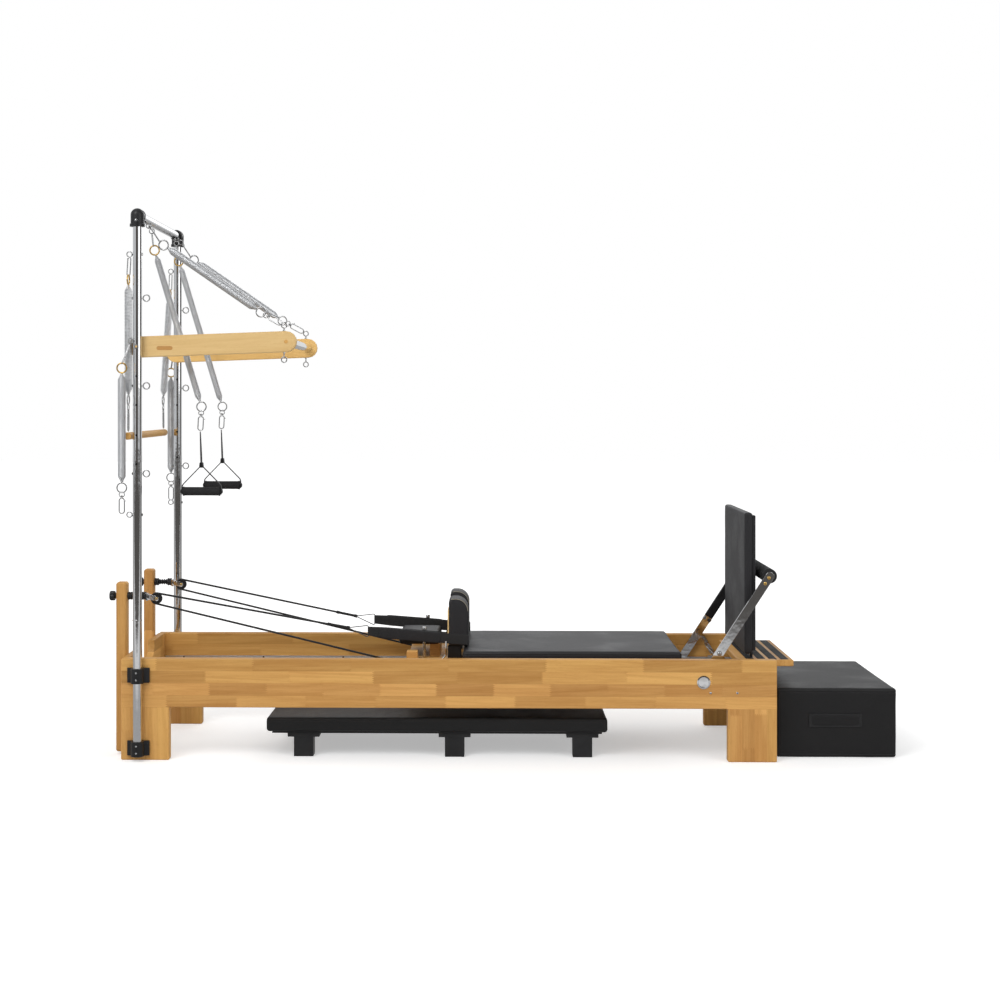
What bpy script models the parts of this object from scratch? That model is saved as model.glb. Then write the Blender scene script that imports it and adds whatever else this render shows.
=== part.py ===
"""Pilates reformer with a half tower, a jump board, a sitting box and a stored mat.

Metres, +Z up. X runs from the head end to the foot end, Y across the frame, and the floor
is Z = 0. Pieces are laid out from the head end face of the frame. One empty then carries
them all, so that the origin lies under the middle of the whole object.
Each empty whose name ends in _axis carries a moving group and stands on its joint axis.
"""

import math

import bmesh
import bpy
from mathutils import Matrix, Vector

# Clearances
GAP = 0.0003
RUNNING = 0.0004
SEAT_OVERLAP = 0.001
CUT_MARGIN = 0.01
CUSHION_CELLS = 4

# Wooden frame
FRAME_LENGTH = 2.396
FRAME_WIDTH = 0.70
SIDE_THICK = 0.040
RAIL_TOP = 0.371
RAIL_BOTTOM = 0.193
HEAD_LEG_WIDTH = 0.177
FOOT_LEG_WIDTH = 0.178
WOOD_EDGE = 0.003
HEAD_BOARD_THICK = 0.026
HEAD_NOTCH_WIDTH = 0.220
HEAD_NOTCH_DEPTH = 0.060
HEAD_NOTCH_RADIUS = 0.040
FOOT_BOARD_THICK = 0.026
FOOT_BOARD_TOP = 0.333
PLATFORM_THICK = 0.024
PLATFORM_INSET = 0.126
PLATFORM_OVERHANG = 0.079
PLATFORM_WIDTH = 0.500

# Aluminium tracks
TRACK_WIDTH = 0.036
TRACK_SHELF_TOP = 0.268
TRACK_LIP_TOP = 0.280
TRACK_SHEET = 0.006
TRACK_LIP = 0.003
TRACK_END_GAP = 0.002
STRUT_SEAT_BEFORE = 0.020
STRUT_SEAT_PAST = 0.003
STRUT_SEAT_WIDTH = 0.0115

# Riser posts and rope pulleys
RISER_THICK = 0.040
RISER_WIDTH = 0.049
RISER_BOTTOM = 0.010
RISER_TOP = 0.640
RISER_Y = 0.235
ROD_Z = 0.588
ROD_RADIUS = 0.006
KNOB_RADIUS = 0.018
KNOB_THICK = 0.022
KNOB_STANDOFF = 0.006
COUPLER_RADIUS = 0.015
COUPLER_LENGTH = 0.017
NECK_RADIUS = 0.008
NECK_LENGTH = 0.035
FORK_SHEET = 0.003
FORK_CHEEK_RADIUS = 0.009
FORK_CHEEK_START = 0.010
FORK_BRIDGE_THICK = 0.006
FORK_BRIDGE_ABOVE = 0.010
FORK_BRIDGE_BELOW = 0.008
WHEEL_REACH = 0.039
WHEEL_DROP = 0.010
WHEEL_RADIUS = 0.0205
WHEEL_WIDTH = 0.012
GROOVE_WIDTH = 0.0085
GROOVE_FLOOR_SHARE = 0.8
ROPE_SINK = 0.001
PULLEY_PIN_RADIUS = 0.004

# Ropes and foot loops
ROPE_RADIUS = 0.0033
ROPE_APEX_X = 0.820
ROPE_APEX_Z = 0.460
ROPE_APEX_Y = 0.165
LOOP_HEAD_X = 0.892
LOOP_HEAD_Z = 0.448
LOOP_FOOT_Z = 0.418
LOOP_BAND = 0.038
LOOP_SHEET = 0.003
LOOP_CLEAR = 0.0005
LOOP_WIRE = 0.0013
LOOP_NOSE_RADIUS = 0.008
LOOP_TURN_RADIUS = 0.006

# Carriage
CARRIAGE_START = 1.040
CARRIAGE_END = 2.060
CARRIAGE_WIDTH = 0.560
DECK_BOTTOM = 0.323
DECK_TOP = 0.345
RUNNER_INSET = 0.018
RUNNER_THICK = 0.018
RUNNER_BOTTOM = 0.278
RUNNER_END_INSET = 0.020
SPRING_BEAM_X = 1.270
SPRING_BEAM_THICK = 0.020
SPRING_BEAM_BOTTOM = 0.248
WHEELSET_INSET = 0.100
CAR_WHEEL_RADIUS = 0.022
CAR_WHEEL_WIDTH = 0.020
CAR_WHEEL_CLEAR = 0.0015
AXLE_RADIUS = 0.005
PAD_START = 1.250
PAD_TOP = 0.390
PAD_EDGE = 0.014
PAD_CROWN = 0.003
PAD_PULL = 0.004
HEADREST_START = 1.005
HEADREST_LENGTH = 0.157
HEADREST_WIDTH = 0.260
HEADREST_BOTTOM = 0.3925
HEADREST_THICK = 0.039
HEADREST_CROWN = 0.004
HEADREST_PULL = 0.003
HINGE_BLOCK_LENGTH = 0.040
HINGE_BLOCK_WIDTH = 0.200
SHOULDER_START = 1.192
SHOULDER_DEPTH = 0.078
SHOULDER_WIDTH = 0.120
SHOULDER_Y = 0.120
SHOULDER_BOTTOM = 0.3945
SHOULDER_TOP = 0.572
SHOULDER_ROUND = 0.045
SHOULDER_EDGE = 0.010
SHOULDER_PEG_RADIUS = 0.008
SHOULDER_PEG_INSET = 0.029
CARRIAGE_SPRINGS = 4
CARRIAGE_SPRING_PITCH = 0.120
CARRIAGE_SPRING_RADIUS = 0.011
SPRING_BAR_Z = 0.259
SPRING_BAR_INSET = 0.061
SPRING_BAR_THICK = 0.016
SPRING_BAR_HEIGHT = 0.034

# Footbar
FOOTBAR_PIVOT_INSET = 0.266
FOOTBAR_PIVOT_Z = 0.287
FOOTBAR_GRIP_INSET = 0.016
FOOTBAR_GRIP_Z = 0.6705
FOOTBAR_RAIL_GAP = 0.020
FOOTBAR_ARM_THICK = 0.006
FOOTBAR_ARM_RADIUS = 0.016
FOOTBAR_TUBE_RADIUS = 0.0165
FOOTBAR_PIN_RADIUS = 0.0065
FOAM_RADIUS = 0.027
STRUT_TOP_INSET = 0.201
STRUT_TOP_Z = 0.387
STRUT_FOOT_INSET = 0.147
STRUT_FOOT_Z = 0.298
STRUT_THICK = 0.005
STRUT_RADIUS = 0.008
STRUT_ROD_RADIUS = 0.008
STRUT_PIN_RADIUS = 0.004
STRUT_SIDE_GAP = 0.003

# Jump board
BOARD_INSET = 0.103
BOARD_PAD_THICK = 0.030
BOARD_BACK_THICK = 0.012
BOARD_WIDTH = 0.510
BOARD_BOTTOM = 0.378
BOARD_TOP = 0.902
BOARD_EDGE = 0.009
BOARD_PULL = 0.002
BOARD_BACK_INSET = 0.012
BOARD_PEG_RADIUS = 0.0055
BOARD_PEG_SPACING = 0.360
BOARD_PEG_DEPTH = 0.060

# Sitting box and stored mat
BOX_GAP = 0.0115
BOX_LENGTH = 0.4415
BOX_NEAR_Y = -0.270
BOX_FAR_Y = 0.370
BOX_HEIGHT = 0.256
BOX_EDGE = 0.012
BOX_CROWN = 0.005
BOX_PULL = 0.003
MAT_START = 0.526
MAT_LENGTH = 1.259
MAT_WIDTH = 0.600
MAT_BOTTOM = 0.095
MAT_TOP = 0.148
MAT_EDGE = 0.012
MAT_CROWN = 0.003
MAT_PULL = 0.003
MAT_BASE_THICK = 0.008
MAT_BASE_INSET = 0.020
MAT_BEAM_X = (0.662, 1.221, 1.693)
MAT_BEAM_LENGTH = 0.118
MAT_BEAM_THICK = 0.014
MAT_LEG_LENGTH = 0.072
MAT_LEG_WIDTH = 0.060

# Tower
POST_X = 0.066
POST_RADIUS = 0.0165
POST_STANDOFF = 0.022
POST_BOTTOM = 0.018
TOWER_BAR_Z = 1.993
SOCKET_DEPTH = 0.020
ELBOW_RADIUS = 0.0245
ELBOW_RIM_RADIUS = 0.0275
ELBOW_RIM_HEIGHT = 0.010
ELBOW_BOTTOM = 1.951
ELBOW_ARM_RADIUS = 0.0225
ELBOW_REACH = 0.034
CLAMP_ZS = (0.046, 0.312)
CLAMP_HEIGHT = 0.054
CLAMP_LENGTH = 0.081
CLAMP_FLANGE = 0.010
CLAMP_RADIUS = 0.0245

# Push-through bar
ARM_PIVOT_Z = 1.5125
ARM_END_X = 0.6065
ARM_END_Z = 1.532
ARM_HEIGHT = 0.077
ARM_THICK = 0.024
ARM_POST_GAP = 0.0035
ARM_PIN_RADIUS = 0.004
ARM_BOLT_OUT = 0.006
DOWEL_RADIUS = 0.0165
EYE_X = 0.598
EYE_SHANK_RADIUS = 0.0025
EYE_RADIUS = 0.0095
EYE_WIRE = 0.0020
EYE_STANDOFF = 0.0125
EYE_TOP_Z = 1.592
EYE_BOTTOM_Z = 1.466

# Tower springs, where each runs, top and bottom of its body
SPRING_RING = 0.0175
SPRING_WIRE = 0.0016
SPRING_TAPER = 0.022
SPRING_NECK = 0.002
SPRING_SHOULDER = 0.7
RING_STEM = 0.006
SNAP_RADIUS = 0.0022
PUSH_HOOK = (0.092, 1.962)
PUSH_SPRING_RADIUS = 0.0145
PUSH_SPRING_Y = 0.300
PUSH_BODY_TOP = (0.165, 1.878)
PUSH_BODY_BOTTOM = (0.489, 1.655)
ARM_SPRING_RADIUS = 0.012
ARM_SPRING_Y = 0.230
ARM_SPRING_HOOK = (0.0885, 1.950)
ARM_BODY_TOP = (0.105, 1.857)
ARM_BODY_BOTTOM = (0.268, 1.315)
ARM_SNAP_BOTTOM = (0.270, 1.203)
LEG_SPRING_RADIUS = 0.0145
LEG_SPRING_OUT = 0.039
LEG_SPRING_X = (0.018, 0.030)
LEG_HOOK_Z = 1.534
LEG_BODY_TOP_Z = 1.412
LEG_BODY_BOTTOM_Z = 1.022
LEG_SNAP_BOTTOM_Z = 0.905
ROLL_SPRING_RADIUS = 0.0145
ROLL_POST_GAP = 0.002
ROLL_FAR_SLANT = 0.026
ROLL_HOOK_Z = 1.850
ROLL_BODY_TOP_Z = 1.735
ROLL_BODY_BOTTOM_Z = 1.340
ROLL_SPRING_CURLS = 20
POINTS_PER_CURL = 8
ROLL_WIRE = 0.0016
ROLL_BAR_Z = 1.187
ROLL_BAR_RADIUS = 0.0135
ROLL_BAR_OVERHANG = 0.020

# Arm spring handles
HANDLE_X = 0.275
HANDLE_Z = 0.978
HANDLE_LENGTH = 0.140
HANDLE_RADIUS = 0.016
STRAP_RADIUS = 0.003
STRAP_SPLIT_Z = 1.074
STRAP_POINT = 0.15
STRAP_POINT_LENGTH = 0.003

# Sizes worked out from the ones above
HALF_WIDTH = FRAME_WIDTH / 2
RAIL_INNER = HALF_WIDTH - SIDE_THICK
POST_Y = HALF_WIDTH + POST_STANDOFF
KNOB_OUTER_X = -RISER_THICK - KNOB_STANDOFF - KNOB_THICK
BOX_START = FRAME_LENGTH + BOX_GAP
BOX_END = BOX_START + BOX_LENGTH
CENTRE_X = (KNOB_OUTER_X + BOX_END) / 2
NECK_X = COUPLER_LENGTH + NECK_LENGTH
FORK_X = NECK_X + COUPLER_LENGTH
WHEEL_X = FORK_X + WHEEL_REACH
WHEEL_Z = ROD_Z - WHEEL_DROP
ROPE_TURN = WHEEL_RADIUS - ROPE_SINK
AXLE_Z = TRACK_SHELF_TOP + GAP + CAR_WHEEL_RADIUS
CARRIAGE_HALF = CARRIAGE_WIDTH / 2
PLATFORM_TOP = FOOT_BOARD_TOP + GAP + PLATFORM_THICK
ARM_Y = POST_Y - POST_RADIUS - ARM_POST_GAP - ARM_THICK / 2
PLATFORM_START = FRAME_LENGTH - PLATFORM_INSET
PLATFORM_END = FRAME_LENGTH + PLATFORM_OVERHANG
SPRING_BAR_X = FRAME_LENGTH - SPRING_BAR_INSET
FOOTBAR_PIVOT_X = FRAME_LENGTH - FOOTBAR_PIVOT_INSET
FOOTBAR_GRIP_X = FRAME_LENGTH - FOOTBAR_GRIP_INSET
FOOTBAR_ARM_Y = RAIL_INNER - FOOTBAR_RAIL_GAP
STRUT_TOP_X = FRAME_LENGTH - STRUT_TOP_INSET
STRUT_FOOT_X = FRAME_LENGTH - STRUT_FOOT_INSET
BOARD_FRONT = FRAME_LENGTH - BOARD_INSET
LEG_SPRING_Y = POST_Y + LEG_SPRING_OUT
ROLL_X = POST_X - POST_RADIUS - ROLL_POST_GAP - ROLL_SPRING_RADIUS
ROLL_BAR_LENGTH = 2 * (POST_Y + ROLL_BAR_OVERHANG)
SIDES = {"near": -1, "far": 1}


def clear_scene():
    for obj in list(bpy.data.objects):
        bpy.data.objects.remove(obj, do_unlink=True)


def new_collection(name):
    collection = bpy.data.collections.new(name)
    bpy.context.scene.collection.children.link(collection)
    return collection


clear_scene()
PARTS = new_collection("pilates_reformer")
CUTTERS = new_collection("cutters")


def empty(name, place, parent=None):
    """An empty on a joint axis, given in the frame's own coordinates."""
    obj = bpy.data.objects.new(f"{name}_axis", None)
    PARTS.objects.link(obj)
    obj.parent = parent
    obj.location = place
    return obj


ORIGIN = empty("reformer", (-CENTRE_X, 0, 0))


def finish(name, colour, roughness, metallic=0.0):
    """A plain Principled material."""
    look = bpy.data.materials.new(name)
    look.use_nodes = True
    shader = look.node_tree.nodes["Principled BSDF"]
    shader.inputs["Base Color"].default_value = (*colour, 1)
    shader.inputs["Roughness"].default_value = roughness
    shader.inputs["Metallic"].default_value = metallic
    look.diffuse_color = (*colour, 1)
    return look


WOOD = finish("oiled_maple", (0.72, 0.45, 0.20), 0.42)
CHROME = finish("chromed_steel", (0.74, 0.75, 0.77), 0.14, 1.0)
SPRING_STEEL = finish("spring_steel", (0.56, 0.58, 0.60), 0.32, 1.0)
ALUMINIUM = finish("anodised_aluminium", (0.70, 0.71, 0.72), 0.38, 1.0)
VINYL = finish("charcoal_vinyl", (0.045, 0.046, 0.050), 0.52)
PLASTIC = finish("black_plastic", (0.018, 0.018, 0.019), 0.36)
FOAM = finish("foam_rubber", (0.020, 0.020, 0.021), 0.78)
WEBBING = finish("black_webbing", (0.015, 0.015, 0.016), 0.85)
PAINTED = finish("black_painted_wood", (0.025, 0.025, 0.026), 0.55)


def to_mesh(bm):
    mesh = bpy.data.meshes.new("shape")
    bm.to_mesh(mesh)
    bm.free()
    return mesh


def block(low, high):
    """A box between two corners."""
    low, high = Vector(low), Vector(high)
    place = Matrix.Translation((low + high) / 2) @ Matrix.Diagonal((*(high - low), 1))
    bm = bmesh.new()
    bmesh.ops.create_cube(bm, size=1, matrix=place)
    return to_mesh(bm)


def rod(start, end, radius, sides=12):
    """A cylinder between two points."""
    start, end = Vector(start), Vector(end)
    along = end - start
    turn = along.to_track_quat("Z", "Y").to_matrix().to_4x4()
    place = Matrix.Translation((start + end) / 2) @ turn
    bm = bmesh.new()
    bmesh.ops.create_cone(
        bm, cap_ends=True, segments=sides, radius1=radius, radius2=radius,
        depth=along.length, matrix=place,
    )
    return to_mesh(bm)


def ball(centre, radius, rings=6, sides=12):
    bm = bmesh.new()
    bmesh.ops.create_uvsphere(
        bm, u_segments=sides, v_segments=rings, radius=radius, matrix=Matrix.Translation(centre)
    )
    return to_mesh(bm)


def ring(centre, normal, radius, wire, turns=10, sides=5):
    """A torus round a normal."""
    bpy.ops.mesh.primitive_torus_add(
        major_segments=turns, minor_segments=sides, major_radius=radius, minor_radius=wire
    )
    obj = bpy.context.object
    mesh = obj.data
    bpy.data.objects.remove(obj, do_unlink=True)
    turn = Vector(normal).to_track_quat("Z", "Y").to_matrix().to_4x4()
    mesh.transform(Matrix.Translation(centre) @ turn)
    return mesh


def mesh_of(curve):
    """A curve's surface as a closed mesh."""
    obj = bpy.data.objects.new("path", curve)
    mesh = bpy.data.meshes.new_from_object(obj)
    bpy.data.objects.remove(obj, do_unlink=True)
    bm = bmesh.new()
    bm.from_mesh(mesh)
    bmesh.ops.remove_doubles(bm, verts=bm.verts, dist=1e-6)
    bmesh.ops.recalc_face_normals(bm, faces=bm.faces)
    bm.to_mesh(mesh)
    bm.free()
    return mesh


def spline_on(curve, points, closed=False, swell=None):
    spline = curve.splines.new("POLY")
    spline.points.add(len(points) - 1)
    for index, (knot, place) in enumerate(zip(spline.points, points)):
        knot.co = (*place, 1)
        if swell:
            knot.radius = swell[index]
    spline.use_cyclic_u = closed


def tube(points, radius, resolution=1, closed=False, swell=None):
    """A round tube along points, 4 + 2 * resolution sides, its radius scaled by swell."""
    curve = bpy.data.curves.new("path", "CURVE")
    curve.dimensions = "3D"
    curve.bevel_depth = radius
    curve.bevel_resolution = resolution
    curve.use_fill_caps = not closed
    spline_on(curve, points, closed, swell)
    return mesh_of(curve)


PLANES = {
    "XY": Matrix(((1, 0, 0, 0), (0, 1, 0, 0), (0, 0, 1, 0), (0, 0, 0, 1))),
    "XZ": Matrix(((1, 0, 0, 0), (0, 0, -1, 0), (0, 1, 0, 0), (0, 0, 0, 1))),
    "YZ": Matrix(((0, 0, 1, 0), (1, 0, 0, 0), (0, 1, 0, 0), (0, 0, 0, 1))),
}


def plate(outline, middle, thick, plane="XZ", holes=()):
    """A flat outline of some thickness, whose mid-plane lies at middle on the third axis."""
    curve = bpy.data.curves.new("outline", "CURVE")
    curve.dimensions = "2D"
    curve.fill_mode = "BOTH"
    curve.extrude = thick / 2
    for points in (outline, *holes):
        spline_on(curve, [(u, v, 0) for u, v in points], closed=True)
    mesh = mesh_of(curve)
    third = {"XY": (0, 0, middle), "XZ": (0, middle, 0), "YZ": (middle, 0, 0)}[plane]
    mesh.transform(Matrix.Translation(third) @ PLANES[plane])
    return mesh


def arc(centre, radius, start, end, steps):
    """Points along an arc, in degrees, both ends included."""
    turns = [math.radians(start + (end - start) * i / steps) for i in range(steps + 1)]
    return [(centre[0] + radius * math.cos(a), centre[1] + radius * math.sin(a)) for a in turns]


def capsule(start, end, radius, steps=6):
    """An outline with round ends about two points."""
    lean = math.degrees(math.atan2(end[1] - start[1], end[0] - start[0]))
    first = arc(start, radius, lean + 90, lean + 270, steps)
    return first + arc(end, radius, lean - 90, lean + 90, steps)


def circle(centre, radius, steps=16):
    return arc(centre, radius, 0, 360 * (steps - 1) / steps, steps - 1)


def rounded_axis(count, edge):
    """Positions from -1 to 1 whose outermost step is the rounding of an edge."""
    inner = [(2 * i / (count - 2) - 1) * (1 - edge) for i in range(count - 1)]
    return [-1, *inner, 1]


def cushion(low, high, rounding, crown, pull, cells=CUSHION_CELLS):
    """A padded box: rounded edges, a crowned top, and sides drawn in between the corners."""
    low, high = Vector(low), Vector(high)
    half = (high - low) / 2
    bm = bmesh.new()
    bmesh.ops.create_cube(bm, size=2)
    bmesh.ops.subdivide_edges(bm, edges=bm.edges[:], cuts=cells - 1, use_grid_fill=True)
    axes = [rounded_axis(cells, rounding / half[k]) for k in range(3)]
    for vert in bm.verts:
        step = [round((vert.co[k] + 1) / 2 * cells) for k in range(3)]
        place = Vector([axes[k][step[k]] for k in range(3)])
        bend = [place[k] if abs(place[k]) == 1 else 0 for k in range(3)]
        ends = sum(1 for b in bend if b)
        shrink = rounding * (1 - 1 / math.sqrt(ends)) if ends > 1 else 0
        point = Vector([place[k] * half[k] - bend[k] * shrink for k in range(3)])
        bow = [1 - min(1, abs(place[k])) ** 2 for k in range(3)]
        if bend[2] == 1:
            point.z += crown * bow[0] * bow[1]
        if bend[0]:
            point.x -= bend[0] * pull * bow[1]
        if bend[1]:
            point.y -= bend[1] * pull * bow[0]
        vert.co = point + (low + high) / 2
    return to_mesh(bm)


def middle_of(mesh):
    corners = [vert.co for vert in mesh.vertices]
    low = Vector([min(c[k] for c in corners) for k in range(3)])
    high = Vector([max(c[k] for c in corners) for k in range(3)])
    return (low + high) / 2


def part(name, mesh, look, home=None, smooth=None):
    """One piece, with its origin at its own middle or, on a moving group, on the joint axis."""
    obj = bpy.data.objects.new(name, mesh)
    PARTS.objects.link(obj)
    pivot = home_place(home) if home else middle_of(mesh)
    mesh.transform(Matrix.Translation(-pivot))
    obj.parent = home or ORIGIN
    obj.location = (0, 0, 0) if home else pivot
    mesh.name = name
    mesh.materials.clear()
    mesh.materials.append(look)
    if smooth:
        mesh.shade_smooth()
        mesh.set_sharp_from_angle(angle=math.radians(smooth))
    return obj


def home_place(home):
    """Where a group's empty stands in the frame's own coordinates."""
    place = Vector(home.location)
    while home.parent and home.parent != ORIGIN:
        home = home.parent
        place += home.location
    return place


def tool(mesh):
    """A shape that another piece is cut or joined with."""
    obj = bpy.data.objects.new(f"cutter_{len(CUTTERS.objects):02d}", mesh)
    CUTTERS.objects.link(obj)
    obj.parent = ORIGIN
    obj.display_type = "WIRE"
    obj.hide_render = True
    return obj


def boolean(obj, operation, meshes):
    for mesh in meshes:
        step = obj.modifiers.new(operation.lower(), "BOOLEAN")
        step.operation = operation
        step.object = tool(mesh)
        step.solver = "EXACT"
    return obj


def join(obj, *meshes):
    return boolean(obj, "UNION", meshes)


def cut(obj, *meshes):
    return boolean(obj, "DIFFERENCE", meshes)


def soften(obj, width, segments=1):
    step = obj.modifiers.new("soften", "BEVEL")
    step.width = width
    step.segments = segments
    step.limit_method = "ANGLE"
    step.angle_limit = math.radians(35)
    return obj


def side_frame(name, side):
    """A rail with its two legs, glued up as one board."""
    foot_leg = FRAME_LENGTH - FOOT_LEG_WIDTH
    outline = [
        (0, 0), (HEAD_LEG_WIDTH, 0), (HEAD_LEG_WIDTH, RAIL_BOTTOM), (foot_leg, RAIL_BOTTOM),
        (foot_leg, 0), (FRAME_LENGTH, 0), (FRAME_LENGTH, RAIL_TOP), (0, RAIL_TOP),
    ]
    middle = side * (HALF_WIDTH - SIDE_THICK / 2)
    obj = part(f"side_frame_{name}", plate(outline, middle, SIDE_THICK), WOOD)
    soften(obj, WOOD_EDGE)
    inner, outer = side * (RAIL_INNER - CUT_MARGIN), side * (HALF_WIDTH + CUT_MARGIN)
    pivot = (FOOTBAR_PIVOT_X, FOOTBAR_PIVOT_Z)
    cut(obj, rod((pivot[0], inner, pivot[1]), (pivot[0], outer, pivot[1]),
                 FOOTBAR_PIN_RADIUS + RUNNING, 16))


def end_boards():
    """The head board with its rounded notch, and the lower foot board."""
    reach = RAIL_INNER - GAP
    half, floor = HEAD_NOTCH_WIDTH / 2, RAIL_TOP - HEAD_NOTCH_DEPTH
    radius = HEAD_NOTCH_RADIUS
    notch = arc((-half + radius, floor + radius), radius, 180, 270, 4)
    notch += arc((half - radius, floor + radius), radius, 270, 360, 4)
    outline = [(-reach, RAIL_BOTTOM), (reach, RAIL_BOTTOM), (reach, RAIL_TOP), (half, RAIL_TOP)]
    outline += notch[::-1] + [(-half, RAIL_TOP), (-reach, RAIL_TOP)]
    board = plate(outline, HEAD_BOARD_THICK / 2, HEAD_BOARD_THICK, "YZ")
    part("head_board", board, WOOD)
    low = (FRAME_LENGTH - FOOT_BOARD_THICK, -reach, RAIL_BOTTOM)
    soften(part("foot_board", block(low, (FRAME_LENGTH, reach, FOOT_BOARD_TOP)), WOOD), WOOD_EDGE)


def board_peg(side, low, high, radius):
    """A jump board peg, or its hole, at one side."""
    middle = BOARD_FRONT + BOARD_PAD_THICK + GAP + BOARD_BACK_THICK / 2
    y = side * BOARD_PEG_SPACING / 2
    return rod((middle, y, low), (middle, y, high), radius)


def foot_platform():
    half = PLATFORM_WIDTH / 2
    low = (PLATFORM_START, -half, FOOT_BOARD_TOP + GAP)
    obj = part("foot_platform", block(low, (PLATFORM_END, half, PLATFORM_TOP)), WOOD)
    soften(obj, WOOD_EDGE)
    holes = [
        board_peg(side, FOOT_BOARD_TOP - CUT_MARGIN, PLATFORM_TOP + CUT_MARGIN,
                  BOARD_PEG_RADIUS + 2 * RUNNING)
        for side in SIDES.values()
    ]
    cut(obj, *holes)


def track(name, side):
    """An angle of aluminium on the rail's inner face, with the seat of the footbar's strut.

    The seat ends just past the strut's foot, which dips as it swings away from it.
    """
    start = HEAD_BOARD_THICK + TRACK_END_GAP
    end = FRAME_LENGTH - FOOT_BOARD_THICK - TRACK_END_GAP
    outer = RAIL_INNER - GAP
    lip, inner = outer - TRACK_LIP, outer - TRACK_WIDTH
    shelf = TRACK_SHELF_TOP - TRACK_SHEET
    outline = [
        (inner, shelf), (outer, shelf), (outer, TRACK_LIP_TOP), (lip, TRACK_LIP_TOP),
        (lip, TRACK_SHELF_TOP), (inner, TRACK_SHELF_TOP),
    ]
    outline = [(side * y, z) for y, z in outline]
    bar = plate(outline, (start + end) / 2, end - start, "YZ")
    obj = part(f"track_{name}", bar, ALUMINIUM)
    ys = sorted((side * inner, side * (inner + STRUT_SEAT_WIDTH)))
    seat_top = STRUT_FOOT_Z - STRUT_ROD_RADIUS - GAP
    low = (STRUT_FOOT_X - STRUT_SEAT_BEFORE, ys[0], TRACK_SHELF_TOP - TRACK_SHEET / 2)
    join(obj, block(low, (STRUT_FOOT_X + STRUT_SEAT_PAST, ys[1], seat_top)))


def riser(name, side):
    y = side * RISER_Y
    low = (-RISER_THICK - GAP, y - RISER_WIDTH / 2, RISER_BOTTOM)
    obj = part(f"riser_{name}", block(low, (-GAP, y + RISER_WIDTH / 2, RISER_TOP)), WOOD)
    soften(obj, 2 * WOOD_EDGE)
    start, end = (-RISER_THICK - CUT_MARGIN, y, ROD_Z), (CUT_MARGIN, y, ROD_Z)
    cut(obj, rod(start, end, ROD_RADIUS + 2 * RUNNING))


def pulley_rod(name, side):
    """A threaded rod with a knob outside the riser, and couplers, a neck and a fork inside."""
    y = side * RISER_Y

    def turned(start, end, radius, sides=12):
        return rod((start, y, ROD_Z), (end, y, ROD_Z), radius, sides)

    spine = turned(KNOB_OUTER_X + KNOB_THICK / 2, FORK_X + SEAT_OVERLAP, ROD_RADIUS, 8)
    obj = part(f"pulley_rod_{name}", spine, PLASTIC)
    join(
        obj,
        turned(KNOB_OUTER_X, KNOB_OUTER_X + KNOB_THICK, KNOB_RADIUS),
        turned(GAP, COUPLER_LENGTH, COUPLER_RADIUS),
        turned(COUPLER_LENGTH - SEAT_OVERLAP, NECK_X + SEAT_OVERLAP, NECK_RADIUS, 8),
        turned(NECK_X, FORK_X, COUPLER_RADIUS),
    )
    clear = WHEEL_WIDTH / 2 + RUNNING
    outer = clear + FORK_SHEET
    bridge_low = (FORK_X - SEAT_OVERLAP, y - outer, WHEEL_Z - FORK_BRIDGE_BELOW)
    bridge_high = (FORK_X + FORK_BRIDGE_THICK, y + outer, ROD_Z + FORK_BRIDGE_ABOVE)
    join(obj, block(bridge_low, bridge_high))
    centre = (WHEEL_X, WHEEL_Z)
    for turn in (-1, 1):
        cheek_start = (FORK_X + FORK_CHEEK_START, (ROD_Z + WHEEL_Z) / 2)
        cheek = capsule(cheek_start, centre, FORK_CHEEK_RADIUS, 5)
        join(obj, plate(cheek, y + turn * (clear + FORK_SHEET / 2), FORK_SHEET))
    pin_reach = outer - SEAT_OVERLAP
    pin = rod((WHEEL_X, y - pin_reach, WHEEL_Z), (WHEEL_X, y + pin_reach, WHEEL_Z), PULLEY_PIN_RADIUS)
    join(obj, pin)


def pulley_wheel(name, side):
    """A grooved wheel, turned from a closed profile round its own axis."""
    home = empty(f"pulley_{name}", (WHEEL_X, side * RISER_Y, WHEEL_Z), ORIGIN)
    bore = PULLEY_PIN_RADIUS + 1.5 * RUNNING
    floor = ROPE_TURN - ROPE_RADIUS - GAP
    rim, half, groove = WHEEL_RADIUS, WHEEL_WIDTH / 2, GROOVE_WIDTH / 2
    points = [
        (rim, half), (rim, groove), (floor, groove * GROOVE_FLOOR_SHARE),
        (floor, -groove * GROOVE_FLOOR_SHARE), (rim, -groove), (rim, -half), (bore, -half), (bore, half),
    ]
    profile = bpy.data.meshes.new("profile")
    count = len(points)
    edges = [(i, (i + 1) % count) for i in range(count)]
    profile.from_pydata([(r, 0, z) for r, z in points], edges, [])
    obj = bpy.data.objects.new(f"pulley_wheel_{name}", profile)
    PARTS.objects.link(obj)
    profile.materials.append(PLASTIC)
    obj.parent = home
    obj.rotation_euler = (math.radians(90), 0, 0)
    turn = obj.modifiers.new("turn", "SCREW")
    turn.axis = "Z"
    turn.steps = 16
    turn.render_steps = 16
    turn.use_merge_vertices = True
    turn.merge_threshold = 0.00005
    turn.use_normal_calculate = True


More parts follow.
